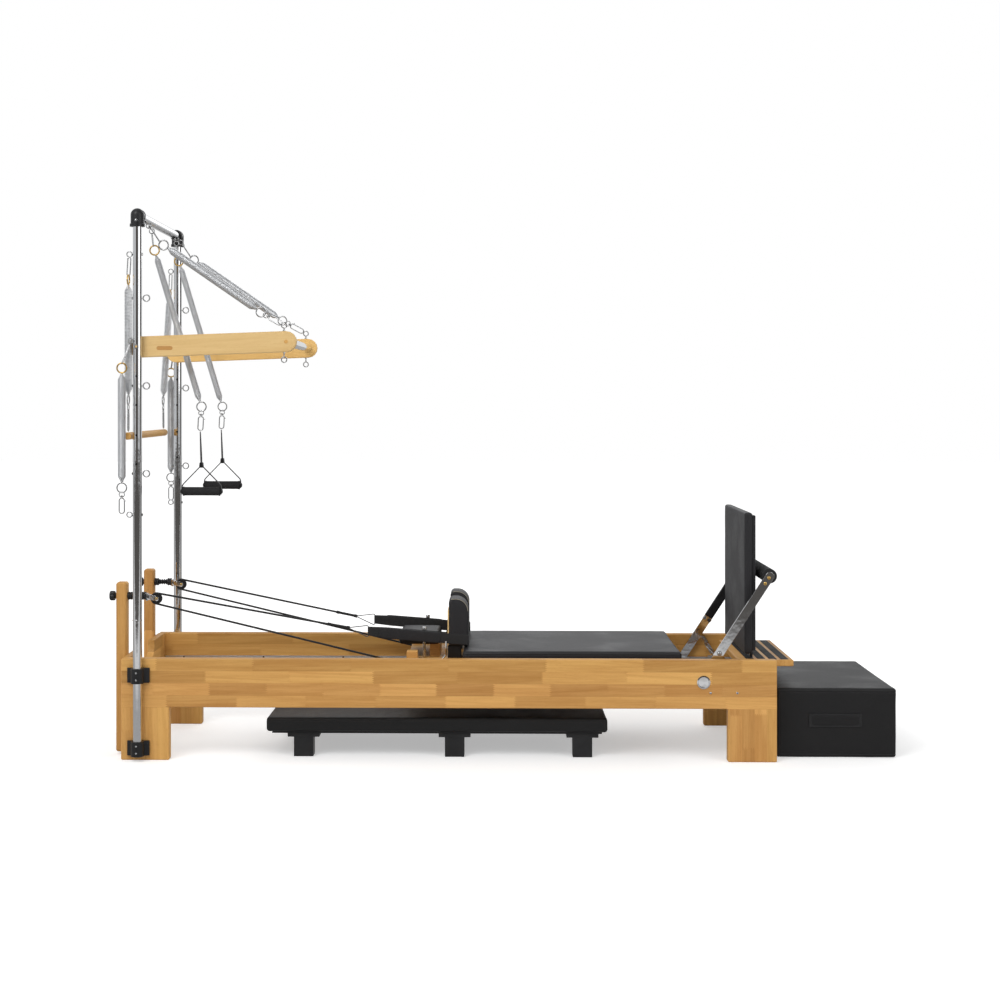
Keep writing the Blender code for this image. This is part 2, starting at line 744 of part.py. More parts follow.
def rope(name, side):
    """A rope from the carriage, back over its pulley, and down to the foot loop."""
    run = (ROPE_APEX_X - WHEEL_X, ROPE_APEX_Z - WHEEL_Z)
    top_lean = 90 + math.degrees(math.atan2(run[1], run[0]))
    run = (CARRIAGE_START - WHEEL_X, (DECK_TOP + DECK_BOTTOM) / 2 - WHEEL_Z)
    low_lean = 270 + math.degrees(math.atan2(run[1], run[0]))
    turn = arc((WHEEL_X, WHEEL_Z), ROPE_TURN, low_lean, top_lean, 10)
    y = side * RISER_Y
    wrap = [(x, y, z) for x, z in turn]
    tie = Vector((CARRIAGE_START - GAP, y, (DECK_TOP + DECK_BOTTOM) / 2))
    start = tie - Vector((2 * ROPE_RADIUS, 0, 0))
    end = Vector((ROPE_APEX_X, side * ROPE_APEX_Y, ROPE_APEX_Z))
    first = [start.lerp(Vector(wrap[0]), t / 4) for t in range(4)]
    last = [Vector(wrap[-1]).lerp(end, t / 4) for t in range(1, 5)]
    points = [tuple(p) for p in (tie, *first, *wrap, *last)]
    part(f"rope_{name}", tube(points, ROPE_RADIUS), WEBBING, smooth=40)


def loop_path(side):
    """A foot loop's centre line from above: a narrow nose, then round the shoulder rest."""
    reach = LOOP_CLEAR + LOOP_SHEET / 2
    inner = SHOULDER_Y - SHOULDER_WIDTH / 2 - reach
    outer = SHOULDER_Y + SHOULDER_WIDTH / 2 + reach
    head, foot = SHOULDER_START - reach, SHOULDER_START + SHOULDER_DEPTH + reach
    nose, turn = LOOP_NOSE_RADIUS, LOOP_TURN_RADIUS
    points = arc((LOOP_HEAD_X + nose, ROPE_APEX_Y), nose, 120, 240, 4)
    points += arc((head - turn, ROPE_APEX_Y - nose - turn), turn, 80, 0, 3)
    points += arc((head + turn, inner + turn), turn, 180, 270, 3)
    points += arc((foot - turn, inner + turn), turn, 270, 360, 3)
    points += arc((foot - turn, outer - turn), turn, 0, 90, 3)
    points.append((SHOULDER_START, outer))
    return [(x, side * y, 0) for x, y in points]


def foot_loop(name, side, home):
    """Webbing on edge round the shoulder rest, with the wire triangle that the rope holds."""
    curve = bpy.data.curves.new("webbing", "CURVE")
    curve.dimensions = "3D"
    curve.extrude = LOOP_BAND / 2
    spline_on(curve, loop_path(side), closed=True)
    band = mesh_of(curve)
    fall = (LOOP_FOOT_Z - LOOP_HEAD_Z) / (SHOULDER_START + SHOULDER_DEPTH - LOOP_HEAD_X)
    for vert in band.vertices:
        vert.co.z += LOOP_HEAD_Z + fall * (vert.co.x - LOOP_HEAD_X)
    obj = part(f"foot_loop_{name}", band, WEBBING, home)
    wall = obj.modifiers.new("wall", "SOLIDIFY")
    wall.thickness = LOOP_SHEET
    wall.offset = 0
    apex, y, wire = ROPE_APEX_X + ROPE_RADIUS / 2, side * ROPE_APEX_Y, LOOP_WIRE
    half = LOOP_BAND / 2 + wire
    corners = [
        (apex, ROPE_APEX_Z + wire), (apex, ROPE_APEX_Z - wire),
        (LOOP_HEAD_X - 2 * wire, LOOP_HEAD_Z - half), (LOOP_HEAD_X, LOOP_HEAD_Z - half + wire),
        (LOOP_HEAD_X, LOOP_HEAD_Z + half - wire), (LOOP_HEAD_X - 2 * wire, LOOP_HEAD_Z + half),
    ]
    join(obj, tube([(x, y, z) for x, z in corners], wire, closed=True))


def deck(home):
    """The carriage's board, with its runners, spring beam and headrest block."""
    low = (CARRIAGE_START, -CARRIAGE_HALF, DECK_BOTTOM)
    obj = part("carriage_deck", block(low, (CARRIAGE_END, CARRIAGE_HALF, DECK_TOP)), WOOD, home)
    outer = CARRIAGE_HALF - RUNNER_INSET
    inner = outer - RUNNER_THICK
    sink = DECK_BOTTOM + SEAT_OVERLAP
    for side in SIDES.values():
        ys = sorted((side * inner, side * outer))
        start = CARRIAGE_START + RUNNER_END_INSET
        end = CARRIAGE_END - RUNNER_END_INSET
        join(obj, block((start, ys[0], RUNNER_BOTTOM), (end, ys[1], sink)))
    beam_low = (SPRING_BEAM_X, -outer + SEAT_OVERLAP, SPRING_BEAM_BOTTOM)
    join(obj, block(beam_low, (SPRING_BEAM_X + SPRING_BEAM_THICK, outer - SEAT_OVERLAP, sink)))
    half, end = HINGE_BLOCK_WIDTH / 2, HEADREST_START + HEADREST_LENGTH
    hinge_low = (end - HINGE_BLOCK_LENGTH, -half, DECK_TOP - SEAT_OVERLAP)
    join(obj, block(hinge_low, (end, half, HEADREST_BOTTOM - GAP)))
    for x in wheelset_places():
        hole = AXLE_RADIUS + RUNNING
        cut(obj, rod((x, -CARRIAGE_HALF, AXLE_Z), (x, CARRIAGE_HALF, AXLE_Z), hole, 12))


def wheelset_places():
    return CARRIAGE_START + WHEELSET_INSET, CARRIAGE_END - WHEELSET_INSET


def wheelset(name, x, carriage_home):
    """Two carriage wheels on one axle, rolling on the tracks."""
    home = empty(f"wheelset_{name}", Vector((x, 0, AXLE_Z)) - home_place(carriage_home), carriage_home)
    outer = RAIL_INNER - GAP - TRACK_LIP - CAR_WHEEL_CLEAR
    reach = outer - SEAT_OVERLAP
    axle = rod((x, -reach, AXLE_Z), (x, reach, AXLE_Z), AXLE_RADIUS, 12)
    obj = part(f"wheelset_{name}", axle, PLASTIC, home, smooth=40)
    for side in SIDES.values():
        start, end = side * outer, side * (outer - CAR_WHEEL_WIDTH)
        join(obj, rod((x, start, AXLE_Z), (x, end, AXLE_Z), CAR_WHEEL_RADIUS, 20))


def shoulder_rest(name, side, carriage_home):
    """A block with a flat head side and a rounded top, on a peg that stands on the deck."""
    place = Vector((SHOULDER_START, side * SHOULDER_Y, DECK_TOP))
    home = empty(f"shoulder_{name}", place - home_place(carriage_home), carriage_home)
    start, end, turn = SHOULDER_START, SHOULDER_START + SHOULDER_DEPTH, SHOULDER_ROUND
    outline = [(start, SHOULDER_BOTTOM), (end, SHOULDER_BOTTOM)]
    outline += arc((end - turn, SHOULDER_TOP - turn), turn, 0, 90, 6)
    outline.append((start, SHOULDER_TOP))
    mesh = plate(outline, side * SHOULDER_Y, SHOULDER_WIDTH)
    obj = part(f"shoulder_rest_{name}", mesh, VINYL, home)
    soften(obj, SHOULDER_EDGE, 2)
    x, y = SHOULDER_START + SHOULDER_PEG_INSET, side * SHOULDER_Y
    peg = rod((x, y, DECK_TOP + GAP), (x, y, SHOULDER_BOTTOM + 2 * SHOULDER_EDGE), SHOULDER_PEG_RADIUS)
    join(obj, peg)


def headrest(carriage_home):
    end = HEADREST_START + HEADREST_LENGTH
    home = empty("headrest_hinge", Vector((end, 0, HEADREST_BOTTOM)) - home_place(carriage_home),
                 carriage_home)
    half = HEADREST_WIDTH / 2
    low, high = (HEADREST_START, -half, HEADREST_BOTTOM), (end, half, HEADREST_BOTTOM + HEADREST_THICK)
    pad = cushion(low, high, PAD_EDGE, HEADREST_CROWN, HEADREST_PULL)
    part("headrest", pad, VINYL, home, smooth=60)


def carriage():
    """The rolling carriage with its pads, loops and wheels."""
    home = empty("carriage", (CARRIAGE_START, 0, DECK_TOP), ORIGIN)
    deck(home)
    low = (PAD_START, -CARRIAGE_HALF, DECK_TOP + GAP)
    pad = cushion(low, (CARRIAGE_END, CARRIAGE_HALF, PAD_TOP), PAD_EDGE, PAD_CROWN, PAD_PULL)
    part("carriage_pad", pad, VINYL, home, smooth=60)
    headrest(home)
    for name, side in SIDES.items():
        shoulder_rest(name, side, home)
        foot_loop(name, side, home)
    for name, x in zip(("head", "foot"), wheelset_places()):
        wheelset(name, x, home)


def carriage_springs():
    """The springs under the carriage, hooked on the bar that ties them to the tracks."""
    reach = RAIL_INNER - GAP - TRACK_WIDTH - GAP
    z, half = SPRING_BAR_Z, SPRING_BAR_HEIGHT / 2
    low = (SPRING_BAR_X, -reach, z - half)
    bar = block(low, (SPRING_BAR_X + SPRING_BAR_THICK, reach, z + half))
    obj = part("carriage_spring_pack", bar, SPRING_STEEL)
    start, end = SPRING_BEAM_X + SPRING_BEAM_THICK + GAP, SPRING_BAR_X + SPRING_BAR_THICK / 2
    for index in range(CARRIAGE_SPRINGS):
        y = (index - (CARRIAGE_SPRINGS - 1) / 2) * CARRIAGE_SPRING_PITCH
        line, swell = spring_line((start, y, z), (end, y, z), CARRIAGE_SPRING_RADIUS)
        join(obj, tube(line, CARRIAGE_SPRING_RADIUS, swell=swell))


def footbar():
    """Two flat arms on pins in the side frames, a tube between them, and its foam grip."""
    pivot, grip = (FOOTBAR_PIVOT_X, FOOTBAR_PIVOT_Z), (FOOTBAR_GRIP_X, FOOTBAR_GRIP_Z)
    home = empty("footbar", (pivot[0], 0, pivot[1]), ORIGIN)
    reach = FOOTBAR_ARM_Y + FOOTBAR_ARM_THICK / 2
    bar = rod((grip[0], -reach, grip[1]), (grip[0], reach, grip[1]), FOOTBAR_TUBE_RADIUS, 16)
    frame = part("footbar_frame", bar, CHROME, home, smooth=40)
    outline = capsule(pivot, grip, FOOTBAR_ARM_RADIUS)
    for side in SIDES.values():
        join(frame, plate(outline, side * FOOTBAR_ARM_Y, FOOTBAR_ARM_THICK))
        start, end = side * FOOTBAR_ARM_Y, side * (HALF_WIDTH - GAP)
        join(frame, rod((pivot[0], start, pivot[1]), (pivot[0], end, pivot[1]), FOOTBAR_PIN_RADIUS))
        start, end = side * (FOOTBAR_ARM_Y - CUT_MARGIN), side * (FOOTBAR_ARM_Y + CUT_MARGIN)
        top = (STRUT_TOP_X, STRUT_TOP_Z)
        cut(frame, rod((top[0], start, top[1]), (top[0], end, top[1]), STRUT_PIN_RADIUS + RUNNING))
    half = FOOTBAR_ARM_Y - FOOTBAR_ARM_THICK / 2 - GAP
    foam = rod((grip[0], -half, grip[1]), (grip[0], half, grip[1]), FOAM_RADIUS, 16)
    sleeve = part("footbar_grip", foam, FOAM, home, smooth=40)
    bore = FOOTBAR_TUBE_RADIUS + RUNNING
    past = half + CUT_MARGIN
    cut(sleeve, rod((grip[0], -past, grip[1]), (grip[0], past, grip[1]), bore, 16))
    footbar_strut(home)


def footbar_strut(footbar_home):
    """A U of two short legs and a rod, pinned to the arms and standing on the track seats."""
    top, foot = (STRUT_TOP_X, STRUT_TOP_Z), (STRUT_FOOT_X, STRUT_FOOT_Z)
    home = empty("strut_hinge", Vector((top[0], 0, top[1])) - home_place(footbar_home), footbar_home)
    leg_y = FOOTBAR_ARM_Y - FOOTBAR_ARM_THICK / 2 - STRUT_SIDE_GAP - STRUT_THICK / 2
    reach = leg_y + STRUT_THICK / 2
    bar = rod((foot[0], -reach, foot[1]), (foot[0], reach, foot[1]), STRUT_ROD_RADIUS)
    obj = part("footbar_strut", bar, CHROME, home, smooth=40)
    outline = capsule(top, foot, STRUT_RADIUS, 5)
    for side in SIDES.values():
        join(obj, plate(outline, side * leg_y, STRUT_THICK))
        start, end = side * leg_y, side * (FOOTBAR_ARM_Y + FOOTBAR_ARM_THICK / 2)
        join(obj, rod((top[0], start, top[1]), (top[0], end, top[1]), STRUT_PIN_RADIUS))


def jump_board():
    """A padded board on a backing whose pegs drop into the platform."""
    home = empty("jump_board", (BOARD_FRONT, 0, BOARD_BOTTOM), ORIGIN)
    half, back = BOARD_WIDTH / 2, BOARD_FRONT + BOARD_PAD_THICK
    pad = cushion((BOARD_FRONT, -half, BOARD_BOTTOM), (back, half, BOARD_TOP), BOARD_EDGE, 0,
                  BOARD_PULL)
    part("jump_board_pad", pad, VINYL, home, smooth=60)
    inset = BOARD_BACK_INSET
    low = (back + GAP, -half + inset, BOARD_BOTTOM + inset)
    high = (back + GAP + BOARD_BACK_THICK, half - inset, BOARD_TOP - inset)
    obj = part("jump_board_back", block(low, high), PAINTED, home)
    bottom = BOARD_BOTTOM - BOARD_PEG_DEPTH
    for side in SIDES.values():
        join(obj, board_peg(side, bottom, BOARD_BOTTOM + 3 * inset, BOARD_PEG_RADIUS))


def loose_pieces():
    """The sitting box at the foot end, and the mat stored under the frame."""
    box_home = empty("sitting_box", (BOX_START, 0, 0), ORIGIN)
    low, high = (BOX_START, BOX_NEAR_Y, 0), (BOX_END, BOX_FAR_Y, BOX_HEIGHT)
    part("sitting_box", cushion(low, high, BOX_EDGE, BOX_CROWN, BOX_PULL), VINYL, box_home,
         smooth=60)
    mat_home = empty("stored_mat", (MAT_START, 0, 0), ORIGIN)
    half, end = MAT_WIDTH / 2, MAT_START + MAT_LENGTH
    low, high = (MAT_START, -half, MAT_BOTTOM), (end, half, MAT_TOP)
    pad = cushion(low, high, MAT_EDGE, MAT_CROWN, MAT_PULL)
    part("mat_pad", pad, VINYL, mat_home, smooth=60)
    inset, top = MAT_BASE_INSET, MAT_BOTTOM - GAP
    floor = top - MAT_BASE_THICK
    low = (MAT_START + inset, -half + inset, floor)
    base = part("mat_base", block(low, (end - inset, half - inset, top)), PAINTED, mat_home)
    beam_floor = floor - MAT_BEAM_THICK
    for x in MAT_BEAM_X:
        reach = half - inset
        beam_low = (x - MAT_BEAM_LENGTH / 2, -reach + SEAT_OVERLAP, beam_floor)
        beam_high = (x + MAT_BEAM_LENGTH / 2, reach - SEAT_OVERLAP, floor + SEAT_OVERLAP)
        join(base, block(beam_low, beam_high))
        for side in SIDES.values():
            ys = sorted((side * (reach - 2 * SEAT_OVERLAP), side * (reach - MAT_LEG_WIDTH)))
            leg_low = (x - MAT_LEG_LENGTH / 2, ys[0], 0)
            leg_high = (x + MAT_LEG_LENGTH / 2, ys[1], beam_floor + SEAT_OVERLAP)
            join(base, block(leg_low, leg_high))


def eye(carrier, centre, normal, start):
    """An eyebolt's ring and shank, welded to what carries it."""
    join(carrier, ring(centre, normal, EYE_RADIUS, EYE_WIRE, 8))
    toward = (Vector(centre) - Vector(start)).normalized()
    join(carrier, rod(start, Vector(centre) - toward * (EYE_RADIUS - EYE_WIRE / 2), EYE_SHANK_RADIUS, 8))


def tower():
    """Two posts in clamps, with elbows and a bar on top, and the eyes that the springs hang in."""
    y = POST_Y
    reach = y - SOCKET_DEPTH
    bar = rod((POST_X, -reach, TOWER_BAR_Z), (POST_X, reach, TOWER_BAR_Z), POST_RADIUS, 16)
    crossbar = part("tower_crossbar", bar, CHROME, smooth=40)
    for side in SIDES.values():
        for spring_y, hook in ((PUSH_SPRING_Y, PUSH_HOOK), (ARM_SPRING_Y, ARM_SPRING_HOOK)):
            place = (hook[0], side * spring_y, hook[1])
            eye(crossbar, place, (0, 1, 0), (POST_X, side * spring_y, TOWER_BAR_Z))
    for name, side in SIDES.items():
        tower_post(name, side)
        tower_elbow(name, side)
        for level, z in zip(("lower", "upper"), CLAMP_ZS):
            tower_clamp(f"tower_clamp_{name}_{level}", side, z)


def tower_post(name, side):
    y, top = side * POST_Y, TOWER_BAR_Z - SOCKET_DEPTH
    mesh = rod((POST_X, y, POST_BOTTOM), (POST_X, y, top), POST_RADIUS, 16)
    obj = part(f"tower_post_{name}", mesh, CHROME, smooth=40)
    roll_eye = (POST_X - POST_RADIUS - EYE_STANDOFF, y, ROLL_HOOK_Z)
    eye(obj, roll_eye, (0, 1, 0), (POST_X - POST_RADIUS / 2, y, ROLL_HOOK_Z))
    leg_eye = leg_eye_place(side)
    eye(obj, leg_eye, (1, side, 0), Vector((POST_X, y, LEG_HOOK_Z)))
    past = POST_RADIUS + CUT_MARGIN
    inner, outer = y - past, y + past
    pin = ARM_PIN_RADIUS + RUNNING
    cut(obj, rod((POST_X, inner, ARM_PIVOT_Z), (POST_X, outer, ARM_PIVOT_Z), pin))


def leg_eye_place(side):
    """The leg spring's eye, set at 45 degrees between the post's head side and its outside."""
    out = (POST_RADIUS + EYE_STANDOFF) * math.sqrt(0.5)
    return Vector((POST_X - out, side * (POST_Y + out), LEG_HOOK_Z))


def tower_elbow(name, side):
    """A plastic elbow whose sockets take the post and the crossbar."""
    y, inner = side * POST_Y, side * (POST_Y - ELBOW_REACH)
    collar = rod((POST_X, y, ELBOW_BOTTOM), (POST_X, y, TOWER_BAR_Z), ELBOW_RADIUS)
    obj = part(f"tower_elbow_{name}", collar, PLASTIC, smooth=40)
    join(obj, ball((POST_X, y, TOWER_BAR_Z), ELBOW_RADIUS))
    join(obj, rod((POST_X, y, TOWER_BAR_Z), (POST_X, inner, TOWER_BAR_Z), ELBOW_ARM_RADIUS))
    rim_top = ELBOW_BOTTOM + ELBOW_RIM_HEIGHT
    join(obj, rod((POST_X, y, ELBOW_BOTTOM - GAP), (POST_X, y, rim_top), ELBOW_RIM_RADIUS))
    bore, depth = POST_RADIUS + RUNNING, SOCKET_DEPTH - GAP
    cut(obj, rod((POST_X, y, ELBOW_BOTTOM - CUT_MARGIN), (POST_X, y, TOWER_BAR_Z - depth), bore, 16))
    start, end = inner - side * CUT_MARGIN, y - side * depth
    cut(obj, rod((POST_X, start, TOWER_BAR_Z), (POST_X, end, TOWER_BAR_Z), bore, 16))


def tower_clamp(name, side, z):
    """A saddle screwed to the side frame, round the post."""
    seat, half, ledge = HALF_WIDTH + GAP, CLAMP_LENGTH / 2, HALF_WIDTH + CLAMP_FLANGE
    outline = [(POST_X - half, seat), (POST_X + half, seat), (POST_X + half, ledge)]
    outline += arc((POST_X, POST_Y), CLAMP_RADIUS, -20, 200, 10)
    outline.append((POST_X - half, ledge))
    hole = circle((POST_X, POST_Y), POST_RADIUS + RUNNING)
    outline = [(x, side * y) for x, y in outline]
    hole = [(x, side * y) for x, y in hole]
    part(name, plate(outline, z, CLAMP_HEIGHT, "XY", [hole]), PLASTIC)


def push_bar():
    """Two wooden arms pinned to the posts, the bar between their ends, and their eyebolts."""
    pivot, end = (POST_X, ARM_PIVOT_Z), (ARM_END_X, ARM_END_Z)
    home = empty("push_bar", (pivot[0], 0, pivot[1]), ORIGIN)
    inner = ARM_Y - ARM_THICK / 2
    bar_half = inner - GAP
    start, stop = (end[0], -bar_half, end[1]), (end[0], bar_half, end[1])
    part("push_bar_dowel", rod(start, stop, DOWEL_RADIUS, 16), CHROME, home, smooth=40)
    for name, side in SIDES.items():
        mesh = plate(capsule(pivot, end, ARM_HEIGHT / 2, 8), side * ARM_Y, ARM_THICK)
        obj = part(f"push_arm_{name}", mesh, WOOD, home)
        soften(obj, WOOD_EDGE)
        bolt_end = side * (POST_Y + POST_RADIUS + ARM_BOLT_OUT)
        bolt = rod((pivot[0], side * ARM_Y, pivot[1]), (pivot[0], bolt_end, pivot[1]), ARM_PIN_RADIUS)
        join(obj, bolt)
        y = side * ARM_Y
        hole = EYE_SHANK_RADIUS + RUNNING
        cut(obj, rod((EYE_X, y, EYE_BOTTOM_Z), (EYE_X, y, EYE_TOP_Z), hole, 8))
        bolt_low, bolt_high = EYE_BOTTOM_Z + EYE_RADIUS, EYE_TOP_Z - EYE_RADIUS
        shank = rod((EYE_X, y, bolt_low), (EYE_X, y, bolt_high), EYE_SHANK_RADIUS, 8)
        bolt = part(f"push_eyebolt_{name}", shank, CHROME, home, smooth=40)
        for z in (EYE_BOTTOM_Z, EYE_TOP_Z):
            join(bolt, ring((EYE_X, y, z), (0, 1, 0), EYE_RADIUS, EYE_WIRE, 8))


def spring_line(top, bottom, radius):
    """A spring's axis from stem to stem, with the swelling of its tapered ends."""
    top, bottom = Vector(top), Vector(bottom)
    along = (bottom - top).normalized()
    stem = SPRING_WIRE / radius
    steps = [(0, stem), (SPRING_NECK, stem), (SPRING_TAPER / 2, SPRING_SHOULDER), (SPRING_TAPER, 1)]
    points = [top + along * d for d, _ in steps] + [bottom - along * d for d, _ in steps[::-1]]
    return points, [s for _, s in steps] + [s for _, s in steps[::-1]]


def coil_line(top, bottom, radius, curls):
    """A helix about a spring's axis that leaves and meets the axis in its end curls."""
    top, bottom = Vector(top), Vector(bottom)
    along = (bottom - top).normalized()
    side = along.orthogonal().normalized()
    across = along.cross(side)
    lead = 4 * ROLL_WIRE
    length = (bottom - top).length - 2 * lead
    count = curls * POINTS_PER_CURL
    points = [top, top + along * lead / 2]
    for i in range(count + 1):
        angle = 2 * math.pi * i / POINTS_PER_CURL
        out = radius * min(1, i / POINTS_PER_CURL, (count - i) / POINTS_PER_CURL)
        turn = side * math.cos(angle) + across * math.sin(angle)
        points.append(top + along * (lead + length * i / count) + turn * out)
    return points + [bottom - along * lead / 2, bottom]


def least_gap(points, wire):
    """The least clear distance between stretches of a wound wire over half a curl apart."""
    apart = POINTS_PER_CURL // 2 + 1
    pairs = ((a, b) for i, a in enumerate(points) for b in points[i + apart:i + 3 * POINTS_PER_CURL])
    return min((a - b).length for a, b in pairs) - 2 * wire


def hung_spring(name, home, hook, body_top, body_bottom, end, radius, curls=0, face=(0, 1, 0)):
    """A tower spring: a link from its eye, a ring, the spring, a ring and the snap below.

    The rings' flat sides look along face.
    """
    hook, body_top = Vector(hook), Vector(body_top)
    body_bottom, end = Vector(body_bottom), Vector(end)
    along = (body_bottom - body_top).normalized()
    spread = SPRING_RING + SPRING_WIRE
    centres = (body_top - along * (spread + RING_STEM), body_bottom + along * (spread + RING_STEM))
    start = body_top - along * (RING_STEM + SPRING_WIRE)
    stop = body_bottom + along * (RING_STEM + SPRING_WIRE)
    if curls:
        line = coil_line(start, stop, radius - ROLL_WIRE, curls)
        print(f"{name}: least gap between curls {least_gap(line, ROLL_WIRE) * 1000:.2f} mm")
        mesh = tube(line, ROLL_WIRE)
    else:
        line, swell = spring_line(start, stop, radius)
        mesh = tube(line, radius, 2, swell=swell)
    obj = part(name, mesh, SPRING_STEEL, home, smooth=50)
    for centre, far_end in zip(centres, (hook, end)):
        join(obj, ring(centre, face, SPRING_RING, SPRING_WIRE))
        away = far_end - centre
        away -= away.project(Vector(face))
        join(obj, rod(centre + away.normalized() * SPRING_RING, far_end, SNAP_RADIUS, 6))
    return obj


def below_eye(x, z):
    """Where a link starts under an eye, clear of its wire."""
    return x, z - EYE_RADIUS - EYE_WIRE - GAP


def at_side(point, y):
    return point[0], y, point[1]


def push_springs():
    """The pair that holds the push-through bar up."""
    for name, side in SIDES.items():
        y = side * PUSH_SPRING_Y
        hook = Vector(at_side(PUSH_HOOK, y))
        top, bottom = Vector(at_side(PUSH_BODY_TOP, y)), Vector(at_side(PUSH_BODY_BOTTOM, y))
        eye_place = Vector((EYE_X, side * ARM_Y, EYE_TOP_Z))
        reach = EYE_RADIUS + EYE_WIRE + GAP
        hook += (top - hook).normalized() * reach
        end = eye_place + (bottom - eye_place).normalized() * reach
        hung_spring(f"push_spring_{name}", None, hook, top, bottom, end, PUSH_SPRING_RADIUS)


def arm_springs():
    """The hand springs, each with its strap and grip hanging from the lower ring."""
    for name, side in SIDES.items():
        y = side * ARM_SPRING_Y
        home = empty(f"arm_spring_{name}", at_side(ARM_SPRING_HOOK, y), ORIGIN)
        hook = at_side(below_eye(*ARM_SPRING_HOOK), y)
        hung_spring(f"arm_spring_{name}", home, hook, at_side(ARM_BODY_TOP, y),
                    at_side(ARM_BODY_BOTTOM, y), at_side(ARM_SNAP_BOTTOM, y), ARM_SPRING_RADIUS)
        handle(name, y, home)


def handle(name, y, spring_home):
    """A strap that splits to the two ends of a hand grip."""
    top_x, top_z = ARM_SNAP_BOTTOM
    place = Vector((top_x, y, top_z)) - home_place(spring_home)
    home = empty(f"handle_{name}", place, spring_home)
    half = HANDLE_LENGTH / 2
    start = (top_x, y, top_z - GAP)
    split = (HANDLE_X, y, STRAP_SPLIT_Z)
    knee_z = HANDLE_Z + HANDLE_RADIUS + STRAP_RADIUS
    ends = []
    for way in (-1, 1):
        x = HANDLE_X + way * (half + GAP + STRAP_RADIUS)
        ends.append([start, split, (x, y, knee_z), (x, y, HANDLE_Z - STRAP_RADIUS)])
    neck = Vector(start).lerp(Vector(split), STRAP_POINT_LENGTH / (top_z - STRAP_SPLIT_Z))
    ends[0].insert(1, tuple(neck))
    strap_tube = tube(ends[0], STRAP_RADIUS, swell=[STRAP_POINT, 1, 1, 1, 1])
    strap = part(f"handle_strap_{name}", strap_tube, WEBBING, home)
    join(strap, tube(ends[1][1:], STRAP_RADIUS))
    grip = rod((HANDLE_X - half, y, HANDLE_Z), (HANDLE_X + half, y, HANDLE_Z), HANDLE_RADIUS)
    part(f"handle_grip_{name}", grip, FOAM, home, smooth=40)


def leg_springs():
    for (name, side), x in zip(SIDES.items(), LEG_SPRING_X):
        y = side * LEG_SPRING_Y
        eye_place = leg_eye_place(side)
        home = empty(f"leg_spring_{name}", eye_place, ORIGIN)
        hook_x, hook_z = below_eye(eye_place.x, eye_place.z)
        hung_spring(f"leg_spring_{name}", home, (hook_x, eye_place.y, hook_z), (x, y, LEG_BODY_TOP_Z),
                    (x, y, LEG_BODY_BOTTOM_Z), (x, y, LEG_SNAP_BOTTOM_Z), LEG_SPRING_RADIUS)


def roll_down_bar():
    """A wooden bar hanging from two springs on the head side of the posts."""
    eye_x = POST_X - POST_RADIUS - EYE_STANDOFF
    home = empty("roll_down_bar", (eye_x, 0, ROLL_HOOK_Z), ORIGIN)
    hook_x, hook_z = below_eye(eye_x, ROLL_HOOK_Z)
    ends = {"near": ROLL_X, "far": ROLL_X - ROLL_FAR_SLANT}
    bar_ends = []
    for name, side in SIDES.items():
        y, x = side * POST_Y, ends[name]
        bottom = (x, y, ROLL_BAR_Z + ROLL_BAR_RADIUS + GAP)
        hung_spring(f"roll_spring_{name}", home, (hook_x, y, hook_z), (ROLL_X, y, ROLL_BODY_TOP_Z),
                    (x, y, ROLL_BODY_BOTTOM_Z), bottom, ROLL_SPRING_RADIUS, ROLL_SPRING_CURLS, (1, 0, 0))
        bar_ends.append((x, side * ROLL_BAR_LENGTH / 2, ROLL_BAR_Z))
    part("roll_down_bar", rod(*bar_ends, ROLL_BAR_RADIUS), WOOD, home, smooth=40)


def main():
    for name, side in SIDES.items():
        side_frame(name, side)
        track(name, side)
        riser(name, side)
        pulley_rod(name, side)
        pulley_wheel(name, side)
        rope(name, side)
    end_boards()
    foot_platform()
    carriage()
    carriage_springs()
    footbar()
    jump_board()
    loose_pieces()
    tower()
    push_bar()
    push_springs()
    arm_springs()
    leg_springs()
    roll_down_bar()


main()
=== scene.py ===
"""Looks of a pilates reformer with a tower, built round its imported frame.

Metres, +Z up. Lengths along the frame run from its head end, and HEAD turns them into the
frame's own x when a mesh is made. The near side has negative y.
"""

import math

import bmesh
import bpy
import numpy as np
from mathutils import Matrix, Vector


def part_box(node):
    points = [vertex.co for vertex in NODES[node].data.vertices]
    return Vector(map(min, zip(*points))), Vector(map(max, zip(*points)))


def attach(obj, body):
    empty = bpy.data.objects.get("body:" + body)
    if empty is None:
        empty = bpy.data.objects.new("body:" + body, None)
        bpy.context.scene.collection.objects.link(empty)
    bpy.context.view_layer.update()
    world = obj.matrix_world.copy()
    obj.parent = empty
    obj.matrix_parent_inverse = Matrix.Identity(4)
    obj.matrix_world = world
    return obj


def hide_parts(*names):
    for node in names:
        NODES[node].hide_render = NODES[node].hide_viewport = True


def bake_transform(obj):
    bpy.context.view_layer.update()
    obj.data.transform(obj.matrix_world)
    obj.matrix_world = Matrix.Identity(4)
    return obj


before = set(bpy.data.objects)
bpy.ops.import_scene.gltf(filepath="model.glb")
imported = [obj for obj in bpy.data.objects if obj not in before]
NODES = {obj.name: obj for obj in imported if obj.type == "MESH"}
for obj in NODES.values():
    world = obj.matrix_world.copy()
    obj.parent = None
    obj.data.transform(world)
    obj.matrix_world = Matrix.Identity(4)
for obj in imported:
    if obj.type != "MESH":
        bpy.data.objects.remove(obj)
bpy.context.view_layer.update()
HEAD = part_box("side_frame_near")[0].x
SIDES = {"near": -1, "far": 1}

# Places on the wooden frame. A pair is an x and a z
RAIL_BOTTOM = 0.193
RAIL_INNER, HALF_WIDTH = 0.310, 0.350
DECK_TOP = 0.345
FOOTBAR_PIVOT, FOOTBAR_GRIP = (2.130, 0.287), (2.380, 0.6705)
SHOULDER_Y = 0.12

